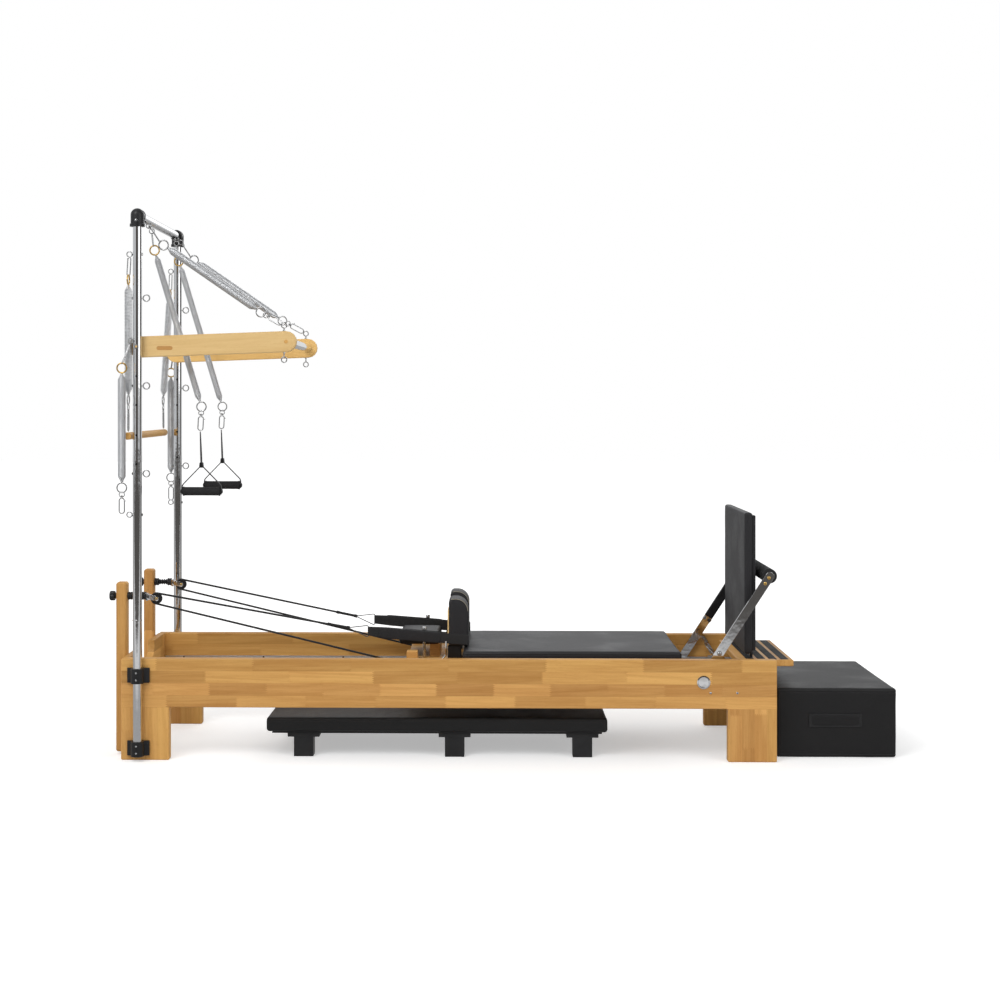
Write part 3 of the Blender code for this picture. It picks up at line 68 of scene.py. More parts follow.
# Pulleys and ropes. A rope's middle line is WRAP_RADIUS from its wheel's middle
ROD_Z, RISER_Y = 0.588, 0.235
WHEEL, WRAP_RADIUS = (0.108, 0.578), 0.0195
ROPE_TIE = (1.0397, RISER_Y, 0.334)
ROPE_APEX = (0.820, 0.165, 0.460)
ROPE_RADIUS = 0.0038

# A foot loop's nose, and its outer run as x and the distance from the middle of the frame
LOOP_NOSE_X = 0.892
LOOP_OUTER_RUN = ((LOOP_NOSE_X, 0.173), (1.05, 0.178), (1.150, 0.182))

# The tower, with its push-through bar's arms, eyebolts and dowel
POST_X, POST_Y, POST_RADIUS = 0.066, 0.372, 0.0165
POST_BOTTOM, POST_TOP = 0.018, 1.973
TOWER_BAR_Z = 1.993
ARM_PIVOT_Z, ARM_Y, ARM_THICK = 1.5125, 0.340, 0.024
EYE_X, EYE_TOP_Z, EYE_BOTTOM_Z = 0.598, 1.592, 1.466
DOWEL = (0.6065, 1.532)

# Eyes and rings of the springs: a small eye's middle is EYE_OUT from its post's skin
RING = 0.0175
SMALL_EYE, SMALL_EYE_WIRE, EYE_OUT = 0.0095, 0.0020, 0.0125
LEG_EYE_OUT = (POST_RADIUS + EYE_OUT) * math.sqrt(0.5)
PUSH_SPRING_Y, PUSH_HOOK = 0.300, (0.092, 1.962)
ARM_SPRING_Y, ARM_HOOK = 0.230, (0.0885, 1.950)
ROLL_BAR_X = {"near": 0.033, "far": 0.007}

# A nut's radius to its corners, and its height
NUT, NUT_HEIGHT = 0.0052, 0.004


# Shapes made with numpy

def unit(vectors):
    """Vectors divided by their own lengths."""
    return vectors / np.linalg.norm(vectors, axis=-1, keepdims=True)


def travelled(points, axis, closed):
    """Distance along a grid's axis in metres, the mean over its other axis."""
    ahead = np.roll(points, -1, axis) - points
    steps = np.linalg.norm(ahead, axis=-1).mean(axis=1 - axis)
    return np.concatenate([[0], np.cumsum(steps)])[: len(steps) + closed]


def skin(points, closed=(False, True)):
    """A grid of points as quads, with a UV map in metres: u along the rows, v along the columns.

    The face at (i, j) has the corners (i, j), (i, j + 1), (i + 1, j + 1) and (i + 1, j). An axis
    that is closed takes its last point on to its first.
    """
    rows, columns = points.shape[:2]
    i, j = np.meshgrid(np.arange(rows - 1 + closed[0]), np.arange(columns - 1 + closed[1]), indexing="ij")
    corners = ((i, j), (i, j + 1), (i + 1, j + 1), (i + 1, j))
    faces = np.stack([(a % rows) * columns + b % columns for a, b in corners], axis=-1)
    along, across = travelled(points, 0, closed[0]), travelled(points, 1, closed[1])
    uv = np.stack([np.stack([along[a], across[b]], axis=-1) for a, b in corners], axis=2)
    return points.reshape(-1, 3), faces.reshape(-1, 4), uv.reshape(-1, 2)


def joined(skins):
    """Several skins as one."""
    starts = np.cumsum([0] + [len(points) for points, _, _ in skins])
    return (
        np.concatenate([points for points, _, _ in skins]),
        np.concatenate([faces + start for (_, faces, _), start in zip(skins, starts)]),
        np.concatenate([uv for _, _, uv in skins]),
    )


def outward(shell):
    """A closed skin with its faces turned outwards, by the sign of its volume: the sum over its faces
    of a . (b x c + c x d), with a, b, c and d the corners from the middle of the skin."""
    points, faces, uv = shell
    a, b, c, d = (points[faces[:, k]] - points.mean(axis=0) for k in range(4))
    if (a * (np.cross(b, c) + np.cross(c, d))).sum() >= 0:
        return shell
    return points, faces[:, ::-1], uv.reshape(-1, 4, 2)[:, ::-1].reshape(-1, 2)


def circle(radius, sides=24):
    """A counterclockwise circle: radius * (cos a, sin a) at even steps of a."""
    turn = np.linspace(0, 2 * np.pi, sides, endpoint=False)
    return radius * np.stack([np.cos(turn), np.sin(turn)], axis=1)


def band(width, thick, sides=20):
    """The section of a strap: a superellipse, each half axis times the 0.4th power of cos and sin."""
    flat = circle(1, sides)
    return np.sign(flat) * np.abs(flat) ** 0.4 * np.array([width / 2, thick / 2])


def capped(points):
    """A grid whose open ends are closed by one more row each, the middle of the end row."""
    ends = [np.repeat(row.mean(axis=0)[None], len(row), axis=0)[None] for row in (points[0], points[-1])]
    return np.concatenate([ends[0], points, ends[1]])


def carried(outline, path, lift=(0, 0, 1), size=1.0, loop=False):
    """An outline carried along a path.

    The tangent is the step from the point before to the point after. side = lift x tangent,
    over = tangent x side, and point = path + size * (u * side + v * over) for each outline (u, v).
    """
    path = np.asarray(path, float)
    ahead = np.roll(path, -1, 0) - np.roll(path, 1, 0) if loop else np.gradient(path, axis=0)
    tangent = unit(ahead)
    side = unit(np.cross(np.broadcast_to(lift, path.shape), tangent))
    over = np.cross(tangent, side)
    size = np.broadcast_to(size, len(path))[:, None, None]
    points = path[:, None] + size * (outline[:, :1] * side[:, None] + outline[:, 1:] * over[:, None])
    return skin(points, (True, True)) if loop else skin(capped(points))


def turned(profile, base, axis, sides=32, ribs=0, depth=0.0):
    """A profile of (radius, height) turned round an axis through base.

    point = base + height * axis + radius * (cos a * across + sin a * over). With ribs the radius is
    also times 1 - depth * (1 - cos(ribs * a)) / 2.
    """
    profile = np.asarray(profile, float)
    axis = unit(np.asarray(axis, float))
    across = unit(np.cross(axis, (0.3, 0.5, 0.8)))
    over = np.cross(axis, across)
    turn = np.linspace(0, 2 * np.pi, sides, endpoint=False)
    ray = np.cos(turn)[:, None] * across + np.sin(turn)[:, None] * over
    fluted = 1 - depth * (1 - np.cos(ribs * turn)) / 2
    radius = profile[:, :1] * fluted
    points = np.asarray(base) + profile[:, 1][:, None, None] * axis + radius[..., None] * ray
    return skin(capped(points))


def rod_profile(radius, length, edge=0.001):
    """A rod's profile with a small chamfer at each end."""
    return [(radius - edge, 0), (radius, edge), (radius, length - edge), (radius - edge, length)]


def rod(start, end, radius, sides=32, edge=0.001):
    """A rod's profile turned round the line between two points."""
    start, end = np.asarray(start, float), np.asarray(end, float)
    length = np.linalg.norm(end - start)
    return turned(rod_profile(radius, length, min(edge, radius / 3)), start, end - start, sides)


def eased(corners, reach, spacing, loop=False):
    """A path with its corners rounded: even steps along the straight runs, each point then the
    mean of those within reach, weighted by a raised cosine."""
    corners = np.asarray(corners, float)
    line = np.concatenate([corners, corners[:1]]) if loop else corners
    far = np.concatenate([[0], np.cumsum(np.linalg.norm(np.diff(line, axis=0), axis=1))])
    places = np.linspace(0, far[-1], int(far[-1] / spacing) + 2, endpoint=not loop)
    points = np.stack([np.interp(places, far, line[:, k]) for k in range(3)], axis=1)
    width = max(1, int(reach / spacing))
    if loop:
        before, after = points[-width:], points[:width]
    else:
        before, after = 2 * points[0] - points[width:0:-1], 2 * points[-1] - points[-2:-width - 2:-1]
    long = np.concatenate([before, points, after])
    weight = np.hanning(2 * width + 3)[1:-1]
    return np.stack([np.convolve(long[:, k], weight / weight.sum(), "valid") for k in range(3)], axis=1)


def ring(centre, normal, radius, wire, steps=40, sides=12):
    """A wire bent to a circle: path = centre + radius * (cos a * across + sin a * over)."""
    normal = unit(np.asarray(normal, float))
    across = unit(np.cross(normal, (0.3, 0.5, 0.8)))
    turn = circle(radius, steps)
    path = np.asarray(centre) + turn[:, :1] * across + turn[:, 1:] * np.cross(normal, across)
    return carried(circle(wire, sides), path, normal, loop=True)


def coil(start, end, radius, wire, per_turn=17.3, sides=8, pitch=None):
    """A spring between two points, close-wound unless it is given a pitch.

    angle = 2 pi * turns * s, with a turn for each pitch or thickness of wire, and
    path = start + s * (end - start) + r(s) * (cos angle * across + sin angle * over),
    where r(s) falls by a cosine step to a third of its middle value over the taper at both ends.
    """
    taper = 0.022
    start, end = np.asarray(start, float), np.asarray(end, float)
    length = np.linalg.norm(end - start)
    axis = (end - start) / length
    turns = int(length / (pitch or 2.04 * wire))
    s = np.linspace(0, 1, int(turns * per_turn) + 1)
    near_end = np.clip(np.minimum(s, 1 - s) * length / taper, 0, 1)
    out = (radius - wire) * (1 - 0.66 * (0.5 + 0.5 * np.cos(np.pi * near_end)))
    across = unit(np.cross(axis, (0.3, 0.8, 0.5)))
    angle = 2 * np.pi * turns * s
    ray = np.cos(angle)[:, None] * across + np.sin(angle)[:, None] * np.cross(axis, across)
    path = start + s[:, None] * (end - start) + out[:, None] * ray
    return carried(circle(wire, sides), path, axis)


def inset(outline, distance):
    """A counterclockwise convex outline moved in along its normals, each the left turn of its tangent."""
    ahead = unit(np.roll(outline, -1, 0) - np.roll(outline, 1, 0))
    inwards = np.stack([-ahead[:, 1], ahead[:, 0]], axis=1)
    return outline + distance * inwards


def slab(outline, low, high, edge, axes=(0, 2, 1), swell=0.0, rings=8):
    """A board or pad of a convex outline, counterclockwise, with rounded edges and swollen faces.

    Rings run from the middle of one face out to its edge, round the edge by a quarter circle of the
    edge's radius, across, and back in on the other face. A ring at share s of the way out is the
    outline, less its edge, times s about its middle, and stands swell * (1 - s ** 4) proud. axes
    gives the coordinate that takes the outline's u, its v, and the thickness.
    """
    middle = outline.mean(axis=0)
    corner = np.linspace(0, np.pi / 2, 6)
    shares = np.linspace(0.04, 1, rings)[:-1]
    face = inset(outline, edge)
    rows = [(middle + (face - middle) * s, low - swell * (1 - s ** 4)) for s in shares]
    rows += [(inset(outline, edge * (1 - math.sin(a))), low + edge * (1 - math.cos(a))) for a in corner]
    rows += [(inset(outline, edge * (1 - math.cos(a))), high - edge * (1 - math.sin(a))) for a in corner]
    rows += [(middle + (face - middle) * s, high + swell * (1 - s ** 4)) for s in shares[::-1]]
    points = np.empty((len(rows), len(outline), 3))
    points[..., axes[0]] = [flat[:, 0] for flat, _ in rows]
    points[..., axes[1]] = [flat[:, 1] for flat, _ in rows]
    points[..., axes[2]] = np.array([depth for _, depth in rows])[:, None]
    return outward(skin(capped(points)))


def rounded_outline(corners, radii, steps=8):
    """A counterclockwise convex outline, each corner an arc of its own radius."""
    corners = np.asarray(corners, float)
    back, ahead = unit(np.roll(corners, 1, 0) - corners), unit(np.roll(corners, -1, 0) - corners)
    radii = np.asarray(radii, float)[:, None]
    half = np.arccos(np.clip((back * ahead).sum(axis=1), -1, 1))[:, None] / 2
    centre = corners + unit(back + ahead) * radii / np.sin(half)
    start, stop = corners + back * radii / np.tan(half), corners + ahead * radii / np.tan(half)
    share = np.linspace(0, 1, steps)[None, :, None]
    chord = start[:, None] * (1 - share) + stop[:, None] * share
    ray = unit(chord - centre[:, None])
    return (centre[:, None] + radii[:, None] * ray).reshape(-1, 2)


def rectangle(low, high, radii, steps=8):
    """A rectangle between two opposite corners, rounded by one radius or by four."""
    (left, bottom), (right, top) = low, high
    corners = [(left, bottom), (right, bottom), (right, top), (left, top)]
    return rounded_outline(corners, np.broadcast_to(radii, 4), steps)


def capsule(start, end, radius):
    """A counterclockwise outline with round ends: half a circle about one point, then about the other."""
    start, end = np.asarray(start, float), np.asarray(end, float)
    lean = math.atan2(*(end - start)[::-1])
    turn = np.linspace(-np.pi / 2, np.pi / 2, 12)
    halves = [(end, turn + lean), (start, turn + np.pi + lean)]
    arcs = [middle + radius * np.stack([np.cos(a), np.sin(a)], axis=1) for middle, a in halves]
    return np.concatenate(arcs)


def steps_along(half, rounding, spacing, marks):
    """Places from -half to half: close ones over the rounded edges and the marks, even ones between."""
    edge = rounding * np.linspace(0, 1, 6)
    flat = np.linspace(rounding - half, half - rounding, max(3, int(2 * (half - rounding) / spacing)))
    near = np.array([-0.004, -0.0025, -0.0015, -0.0007, 0, 0.0007, 0.0015, 0.0025, 0.004])
    close = [mark + near for mark in marks]
    found = np.concatenate([edge - half, flat, half - edge, *close])
    return np.unique(np.round(found[np.abs(found) <= half], 6))


def box_faces(axes):
    """The six faces of a box as grids of points, each turned outwards."""
    faces = []
    for k in range(3):
        for way in (-1, 1):
            rows, columns = ((k + 2) % 3, (k + 1) % 3)[::way]
            grid = np.empty((len(axes[rows]), len(axes[columns]), 3))
            grid[..., rows] = axes[rows][:, None]
            grid[..., columns] = axes[columns]
            grid[..., k] = way * axes[k][-1]
            faces.append(grid)
    return faces


def cushion(low, high, rounding, crown=(0, 0, 0), under=(0, 0, 0), pull=0.0, seams=(), slack=0.0003,
            spacing=0.012):
    """A padded box.

    Each point of the box goes to core + rounding * out, where core is the point held inside the box
    less the rounding, and out is the direction from core to the point. A share is how far from the
    middle to a face the point then is, from -1 to 1. The high face of axis k stands crown[k] proud
    and the low face under[k], times (1 - a ** 4) * (1 - b ** 4) for the shares a and b across it
    and the square of the share towards it. The sides in x and y are drawn in by
    pull * (1 - share ** 2) between their corners, times the 6th power of the share towards them. A
    seam (axis, distance from the low corner, depth) is a groove, the depth times
    exp(-(distance / 1.2 mm) ** 2). slack times a sum of sines is the unevenness of the cover.
    """
    groove_width = 0.0012
    low, high = np.asarray(low, float), np.asarray(high, float)
    half, middle = (high - low) / 2, (high + low) / 2
    marks = [[place - half[axis] for at, place, _ in seams if at == axis] for axis in range(3)]
    axes = [steps_along(half[k], rounding, spacing, marks[k]) for k in range(3)]
    skins = []
    for points in box_faces(axes):
        core = np.clip(points, rounding - half, half - rounding)
        out = unit(points - core)
        shaped = core + rounding * out
        share = np.clip(shaped / half, -1, 1)
        full = 1 - share ** 4
        bow = 1 - share ** 2
        for k in range(3):
            a, b = (k + 1) % 3, (k + 2) % 3
            proud = np.where(share[..., k] > 0, crown[k], -under[k])
            shaped[..., k] += proud * full[..., a] * full[..., b] * share[..., k] ** 2
        shaped[..., 0] -= np.sign(share[..., 0]) * share[..., 0] ** 6 * pull * bow[..., 1]
        shaped[..., 1] -= np.sign(share[..., 1]) * share[..., 1] ** 6 * pull * bow[..., 0]
        for axis, place, depth in seams:
            away = points[..., axis] - (place - half[axis])
            groove = depth * np.exp(-(away / groove_width) ** 2) * (1 - np.abs(out[..., axis]))
            shaped -= out * groove[..., None]
        x, y, z = np.moveaxis(points, -1, 0)
        waves = np.sin(31 * x + 17 * y) * np.sin(23 * y - 41 * z + 1) + 0.5 * np.sin(67 * x - 59 * y + 53 * z)
        shaped += out * (slack * waves * np.abs(share).min(axis=-1))[..., None]
        skins.append(skin(shaped + middle, (False, False)))
    return joined(skins)


# Pieces of the object

def made(name, look, skins, body=None, crease=40, stands_for=()):
    """One piece from its closed skins, welded and shaded smooth up to the crease angle.

    It rides on body, and stands in the place of the CAD nodes in stands_for.
    """
    points, faces, uv = joined([outward(shell) for shell in skins])
    points = points + (HEAD, 0, 0)
    mesh = bpy.data.meshes.new(name)
    mesh.vertices.add(len(points))
    mesh.vertices.foreach_set("co", points.ravel())
    mesh.loops.add(faces.size)
    mesh.loops.foreach_set("vertex_index", faces.ravel().astype(np.int32))
    mesh.polygons.add(len(faces))
    mesh.polygons.foreach_set("loop_start", np.arange(0, faces.size, 4, dtype=np.int32))
    mesh.uv_layers.new(name="cloth").data.foreach_set("uv", uv.ravel())
    mesh.update(calc_edges=True)
    bm = bmesh.new()
    bm.from_mesh(mesh)
    bmesh.ops.remove_doubles(bm, verts=bm.verts, dist=2e-6)
    bm.to_mesh(mesh)
    bm.free()
    mesh.shade_smooth()
    mesh.set_sharp_from_angle(angle=math.radians(crease))
    mesh.materials.append(look)
    piece = bpy.data.objects.new(name, mesh)
    bpy.context.scene.collection.objects.link(piece)
    if body:
        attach(piece, body)
    if stands_for:
        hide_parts(*stands_for)
    return piece


def worked_copy(node, look, body, edge=0.0008):
    """A CAD node's own shape with its loose triangles welded, its edges broken and its curves smooth."""
    crease = math.radians(35)
    mesh = NODES[node].data.copy()
    bm = bmesh.new()
    bm.from_mesh(mesh)
    bmesh.ops.remove_doubles(bm, verts=bm.verts, dist=1e-5)
    bmesh.ops.dissolve_limit(bm, angle_limit=math.radians(1), verts=bm.verts, edges=bm.edges)
    bm.to_mesh(mesh)
    bm.free()
    mesh.materials.clear()
    mesh.materials.append(look)
    piece = bpy.data.objects.new(f"{node}_worked", mesh)
    bpy.context.scene.collection.objects.link(piece)
    broken = piece.modifiers.new("broken_edges", "BEVEL")
    broken.width, broken.segments = edge, 2
    broken.limit_method, broken.angle_limit = "ANGLE", crease
    mesh.shade_smooth()
    mesh.set_sharp_from_angle(angle=crease)
    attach(piece, body)
    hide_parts(node)


def finished(node, look, edge=0.0012):
    """A CAD node that stays, with a better material and broken edges."""
    piece = NODES[node]
    for place in piece.material_slots:
        place.material = look
    weld = piece.modifiers.new("weld", "WELD")
    weld.merge_threshold = 1e-5
    broken = piece.modifiers.new("broken_edges", "BEVEL")
    broken.width, broken.segments = edge, 3
    broken.limit_method, broken.angle_limit = "ANGLE", math.radians(30)


# Shader nodes and materials

def put(tree, kind, inputs=(), **settings):
    """A node with its settings, and each input given a value or joined to a socket."""
    made_node = tree.nodes.new(kind)
    for key, value in settings.items():
        setattr(made_node, key, value)
    for key, value in dict(inputs).items():
        if isinstance(value, bpy.types.NodeSocket):
            tree.links.new(value, made_node.inputs[key])
        else:
            made_node.inputs[key].default_value = value
    return made_node


def calc(tree, operation, *values):
    """One step of arithmetic on numbers or sockets."""
    return put(tree, "ShaderNodeMath", dict(enumerate(values)), operation=operation).outputs[0]


def vector(tree, x, y, z):
    """Three numbers or sockets as one vector."""
    return put(tree, "ShaderNodeCombineXYZ", {0: x, 1: y, 2: z}).outputs[0]


def noise(tree, place, scale, detail=4.0, roughness=0.55, distortion=0.0):
    """Smooth noise about 0.5, with scale bumps to the metre and detail finer layers on top."""
    inputs = {"Vector": place, "Scale": scale, "Detail": detail, "Roughness": roughness,
              "Distortion": distortion}
    return put(tree, "ShaderNodeTexNoise", inputs).outputs[0]


def chance(tree, place):
    """A value from 0 to 1 that has nothing to do with that of any other place."""
    return put(tree, "ShaderNodeTexWhiteNoise", {"Vector": place}).outputs["Value"]


def ramp(tree, value, low, high, to_low=0.0, to_high=1.0):
    """A smooth step from to_low, up to value = low, to to_high, from value = high."""
    inputs = {0: value, 1: low, 2: high, 3: to_low, 4: to_high}
    return put(tree, "ShaderNodeMapRange", inputs, interpolation_type="SMOOTHSTEP").outputs[0]


def mixed(tree, share, first, second, kind="MIX"):
    """Two colours mixed, with this share of the second."""
    inputs = {0: share, 6: first, 7: second}
    return put(tree, "ShaderNodeMix", inputs, data_type="RGBA", blend_type=kind).outputs[2]


def shaded(tone, times=1.0):
    """A tone times a number, as a colour with no transparency."""
    return tuple(c * times for c in tone) + (1,)


def group(name, inputs, outputs):
    """A shader node group, with the sockets inside it."""
    tree = bpy.data.node_groups.new(name, "ShaderNodeTree")
    kinds = {"value": "NodeSocketFloat", "colour": "NodeSocketColor", "vector": "NodeSocketVector"}
    for way, sockets in (("INPUT", inputs), ("OUTPUT", outputs)):
        for label, kind in sockets.items():
            tree.interface.new_socket(label, in_out=way, socket_type=kinds[kind])
    return tree, tree.nodes.new("NodeGroupInput").outputs, tree.nodes.new("NodeGroupOutput").inputs


def result(tree, sockets, values):
    """A group's outputs joined to their sources."""
    for label, value in values.items():
        tree.links.new(value, sockets[label])


def glued_wood_group():
    """Wood glued up from strips of short finger-jointed pieces.

    strip = floor(across / strip width) and piece = floor((along + fingers) / length + 9 * chance(strip)),
    where the length is the strip's own and the fingers are a zigzag across the grain. Each piece has
    its own tone and lean. Its grain is noise stretched along it, and its pores are finer noise cut
    off at a threshold. A dark line marks each joint and each strip's edge.
    """
    tree, given, out = group(
        "glued_wood",
        {"Along": "value", "Across": "value", "Depth": "value", "Strip Width": "value",
         "Piece Length": "value", "Seed": "value", "Light": "colour", "Dark": "colour"},
        {"Color": "colour", "Height": "value"},
    )
    share = calc(tree, "DIVIDE", given["Across"], given["Strip Width"])
    strip = calc(tree, "FLOOR", share)
    strip_chance = chance(tree, vector(tree, strip, given["Seed"], 0.0))
    zigzag = calc(tree, "PINGPONG", given["Across"], 0.0035)
    length = calc(tree, "MULTIPLY", given["Piece Length"], ramp(tree, strip_chance, 0.0, 1.0, 0.75, 1.5))
    fingers = calc(tree, "DIVIDE", calc(tree, "MULTIPLY", zigzag, 2.6), length)
    along = calc(tree, "DIVIDE", given["Along"], length)
    run = calc(tree, "ADD", calc(tree, "ADD", along, fingers), calc(tree, "MULTIPLY", strip_chance, 9.0))
    piece = calc(tree, "FLOOR", run)
    name = vector(tree, strip, piece, given["Seed"])
    tone = chance(tree, name)
    lean = calc(tree, "MULTIPLY", calc(tree, "SUBTRACT", tone, 0.5), 0.09)
    leaned = calc(tree, "ADD", given["Across"], calc(tree, "MULTIPLY", given["Along"], lean))
    bed = vector(tree, calc(tree, "MULTIPLY", given["Along"], 1.7), calc(tree, "MULTIPLY", leaned, 34.0),
                 calc(tree, "MULTIPLY", given["Depth"], 34.0))
    own = put(tree, "ShaderNodeVectorMath", {0: name, 1: (13.7, 7.9, 5.3)}, operation="MULTIPLY").outputs[0]
    bed = put(tree, "ShaderNodeVectorMath", {0: bed, 1: own}, operation="ADD").outputs[0]
    broad = noise(tree, bed, 1.0, 3.0, 0.5, 0.9)
    fine = noise(tree, bed, 6.0, 3.0, 0.6)
    dash = vector(tree, calc(tree, "MULTIPLY", given["Along"], 55.0), calc(tree, "MULTIPLY", leaned, 900.0),
                  calc(tree, "MULTIPLY", given["Depth"], 900.0))
    pores = ramp(tree, noise(tree, dash, 1.0, 2.0, 0.5), 0.60, 0.72)
    joint = calc(tree, "MULTIPLY", calc(tree, "FRACT", run), length)
    joint_line = calc(tree, "LESS_THAN", joint, 0.0006)
    glue = calc(tree, "MULTIPLY", calc(tree, "FRACT", share), given["Strip Width"])
    line = calc(tree, "MAXIMUM", joint_line, calc(tree, "LESS_THAN", glue, 0.0005))
    grain = calc(tree, "ADD", calc(tree, "MULTIPLY", broad, 0.7), calc(tree, "MULTIPLY", fine, 0.3))
    level = calc(tree, "ADD", ramp(tree, grain, 0.32, 0.68, 0.0, 0.55), calc(tree, "MULTIPLY", tone, 0.45))
    colour = mixed(tree, level, given["Dark"], given["Light"])
    warm = put(tree, "ShaderNodeHueSaturation",
               {"Color": colour, "Hue": ramp(tree, strip_chance, 0.0, 1.0, 0.497, 0.503), "Saturation": 1.0,
                "Value": ramp(tree, tone, 0.0, 1.0, 0.92, 1.08)}).outputs[0]
    marked = calc(tree, "MAXIMUM", calc(tree, "MULTIPLY", pores, 0.30), calc(tree, "MULTIPLY", line, 0.45))
    colour = mixed(tree, marked, warm, given["Dark"], "MULTIPLY")
    height = calc(tree, "SUBTRACT", calc(tree, "MULTIPLY", fine, 0.25), calc(tree, "MAXIMUM", pores, line))
    result(tree, out, {"Color": colour, "Height": height})
    return tree


def leather_grain_group():
    """Pebbled cover: cells of Size across, their edges pressed in, with finer noise on top."""
    tree, given, out = group("leather_grain", {"Place": "vector", "Size": "value"},
                             {"Height": "value", "Cells": "value"})
    scale = calc(tree, "DIVIDE", 1.0, given["Size"])
    cells = put(tree, "ShaderNodeTexVoronoi", {"Vector": given["Place"], "Scale": scale, "Randomness": 0.95},
                feature="DISTANCE_TO_EDGE").outputs["Distance"]
    dome = ramp(tree, cells, 0.0, 0.28)
    fine = noise(tree, given["Place"], calc(tree, "MULTIPLY", scale, 3.0), 2.0)
    result(tree, out, {"Height": calc(tree, "ADD", dome, calc(tree, "MULTIPLY", fine, 0.3)), "Cells": dome})
    return tree


def handling_group():
    """Where hands and cloths have been: broad soft patches and fine specks, as a mask from 0 to 1."""
    tree, given, out = group("handling", {"Place": "vector", "Patch": "value"}, {"Mask": "value"})
    scale = calc(tree, "DIVIDE", 1.0, given["Patch"])
    patches = noise(tree, given["Place"], scale, 5.0, 0.6, 0.4)
    specks = noise(tree, given["Place"], calc(tree, "MULTIPLY", scale, 14.0), 3.0, 0.7)
    result(tree, out, {"Mask": calc(tree, "ADD", ramp(tree, patches, 0.35, 0.7, 0.0, 0.7),
                                    ramp(tree, specks, 0.5, 0.8, 0.0, 0.3))})
    return tree


def weave_group():
    """Woven tape on a UV map in metres: warp ribs along the tape, crossed by weft at half the pitch.

    height = |sin(pi * v / pitch + pi/2 * over)| * (0.6 + 0.4 * |sin(2 pi * u / pitch)|), where over
    swaps from one pick to the next.
    """
    tree, given, out = group("weave", {"UV": "vector", "Pitch": "value"},
                             {"Height": "value", "Threads": "value"})
    parts = put(tree, "ShaderNodeSeparateXYZ", {0: given["UV"]}).outputs
    u = calc(tree, "DIVIDE", parts[0], given["Pitch"])
    v = calc(tree, "DIVIDE", parts[1], given["Pitch"])
    over = calc(tree, "FLOORED_MODULO", calc(tree, "FLOOR", calc(tree, "MULTIPLY", u, 2.0)), 2.0)
    moved = calc(tree, "ADD", v, calc(tree, "MULTIPLY", over, 0.5))
    warp = calc(tree, "ABSOLUTE", calc(tree, "SINE", calc(tree, "MULTIPLY", moved, math.pi)))
    weft = calc(tree, "ABSOLUTE", calc(tree, "SINE", calc(tree, "MULTIPLY", u, 2 * math.pi)))
    height = calc(tree, "MULTIPLY", warp, calc(tree, "ADD", calc(tree, "MULTIPLY", weft, 0.4), 0.6))
    result(tree, out, {"Height": height, "Threads": warp})
    return tree


GLUED_WOOD, LEATHER_GRAIN = glued_wood_group(), leather_grain_group()
HANDLING, WEAVE = handling_group(), weave_group()


def placed(tree, node_group, inputs):
    """A node group put in a material, with its inputs."""
    return put(tree, "ShaderNodeGroup", inputs, node_tree=node_group).outputs


def blank(name, roughness, **sockets):
    """A new material with its shader's constants set, and its tree, shader and coordinates."""
    look = bpy.data.materials.new(name)
    look.use_nodes = True
    tree = look.node_tree
    shader = tree.nodes["Principled BSDF"]
    shader.inputs["Roughness"].default_value = roughness
    for key, value in sockets.items():
        shader.inputs[key.replace("_", " ")].default_value = value
    return look, tree, shader, tree.nodes.new("ShaderNodeTexCoord").outputs


def wire_up(tree, shader, **values):
    """Sources joined to the shader's inputs of the same names, where _ stands for a space."""
    for key, value in values.items():
        tree.links.new(value, shader.inputs[key.replace("_", " ")])


def bump(tree, height, distance, strength=1.0):
    """A skin tilted as if the height stood this distance proud, in metres."""
    inputs = {"Height": height, "Distance": distance, "Strength": strength}
    return put(tree, "ShaderNodeBump", inputs).outputs[0]


# The light and the dark tone of each wood, two pairs of them darkened as painted shade and shadow
HONEY = ((0.700, 0.395, 0.122, 1), (0.480, 0.225, 0.055, 1))
PALE = ((0.830, 0.600, 0.285, 1), (0.690, 0.455, 0.185, 1))
# PALE made darker and more orange: painted shade for the far push arm, whose inner side is in shadow
PALE_IN_PAINTED_SHADE = ((0.830, 0.520, 0.190, 1), (0.690, 0.394, 0.124, 1))
# Dark wood for a patch of painted shadow that the post casts on the near push arm
POST_SHADOW_TONES = ((0.52, 0.27, 0.085, 1), (0.36, 0.17, 0.05, 1))


def wood(name, along, across, tones=HONEY, strip=0.0445, piece=0.26, seed=1.0, origin=(0, 0, 0),
         legs=False):
    """Oiled wood whose grain runs along one axis and whose strips lie side by side across another.

    With legs, the part below the rail has its grain upright and its strips side by side along the
    frame.
    """
    look, tree, shader, coords = blank(name, 0.55, Specular_IOR_Level=0.3)
    centred = put(tree, "ShaderNodeMapping", {"Vector": coords["Object"], "Location": origin}).outputs[0]
    parts = put(tree, "ShaderNodeSeparateXYZ", {0: centred}).outputs
    rest = ({0, 1, 2} - {along, across}).pop()
    run, side = parts[along], parts[across]
    if legs:
        low = calc(tree, "LESS_THAN", parts[2], 0.0)
        run = put(tree, "ShaderNodeMix", {0: low, 2: parts[0], 3: parts[2]}).outputs[0]
        side = put(tree, "ShaderNodeMix", {0: low, 2: parts[2], 3: parts[0]}).outputs[0]
    grain = placed(tree, GLUED_WOOD, {
        "Along": run, "Across": side, "Depth": parts[rest], "Strip Width": strip, "Piece Length": piece,
        "Seed": seed, "Light": tones[0], "Dark": tones[1],
    })
    worn = placed(tree, HANDLING, {"Place": coords["Object"], "Patch": 0.35})["Mask"]
    wire_up(tree, shader, Base_Color=grain["Color"], Normal=bump(tree, grain["Height"], 0.00012),
            Roughness=ramp(tree, worn, 0.0, 1.0, 0.46, 0.60))
    return look


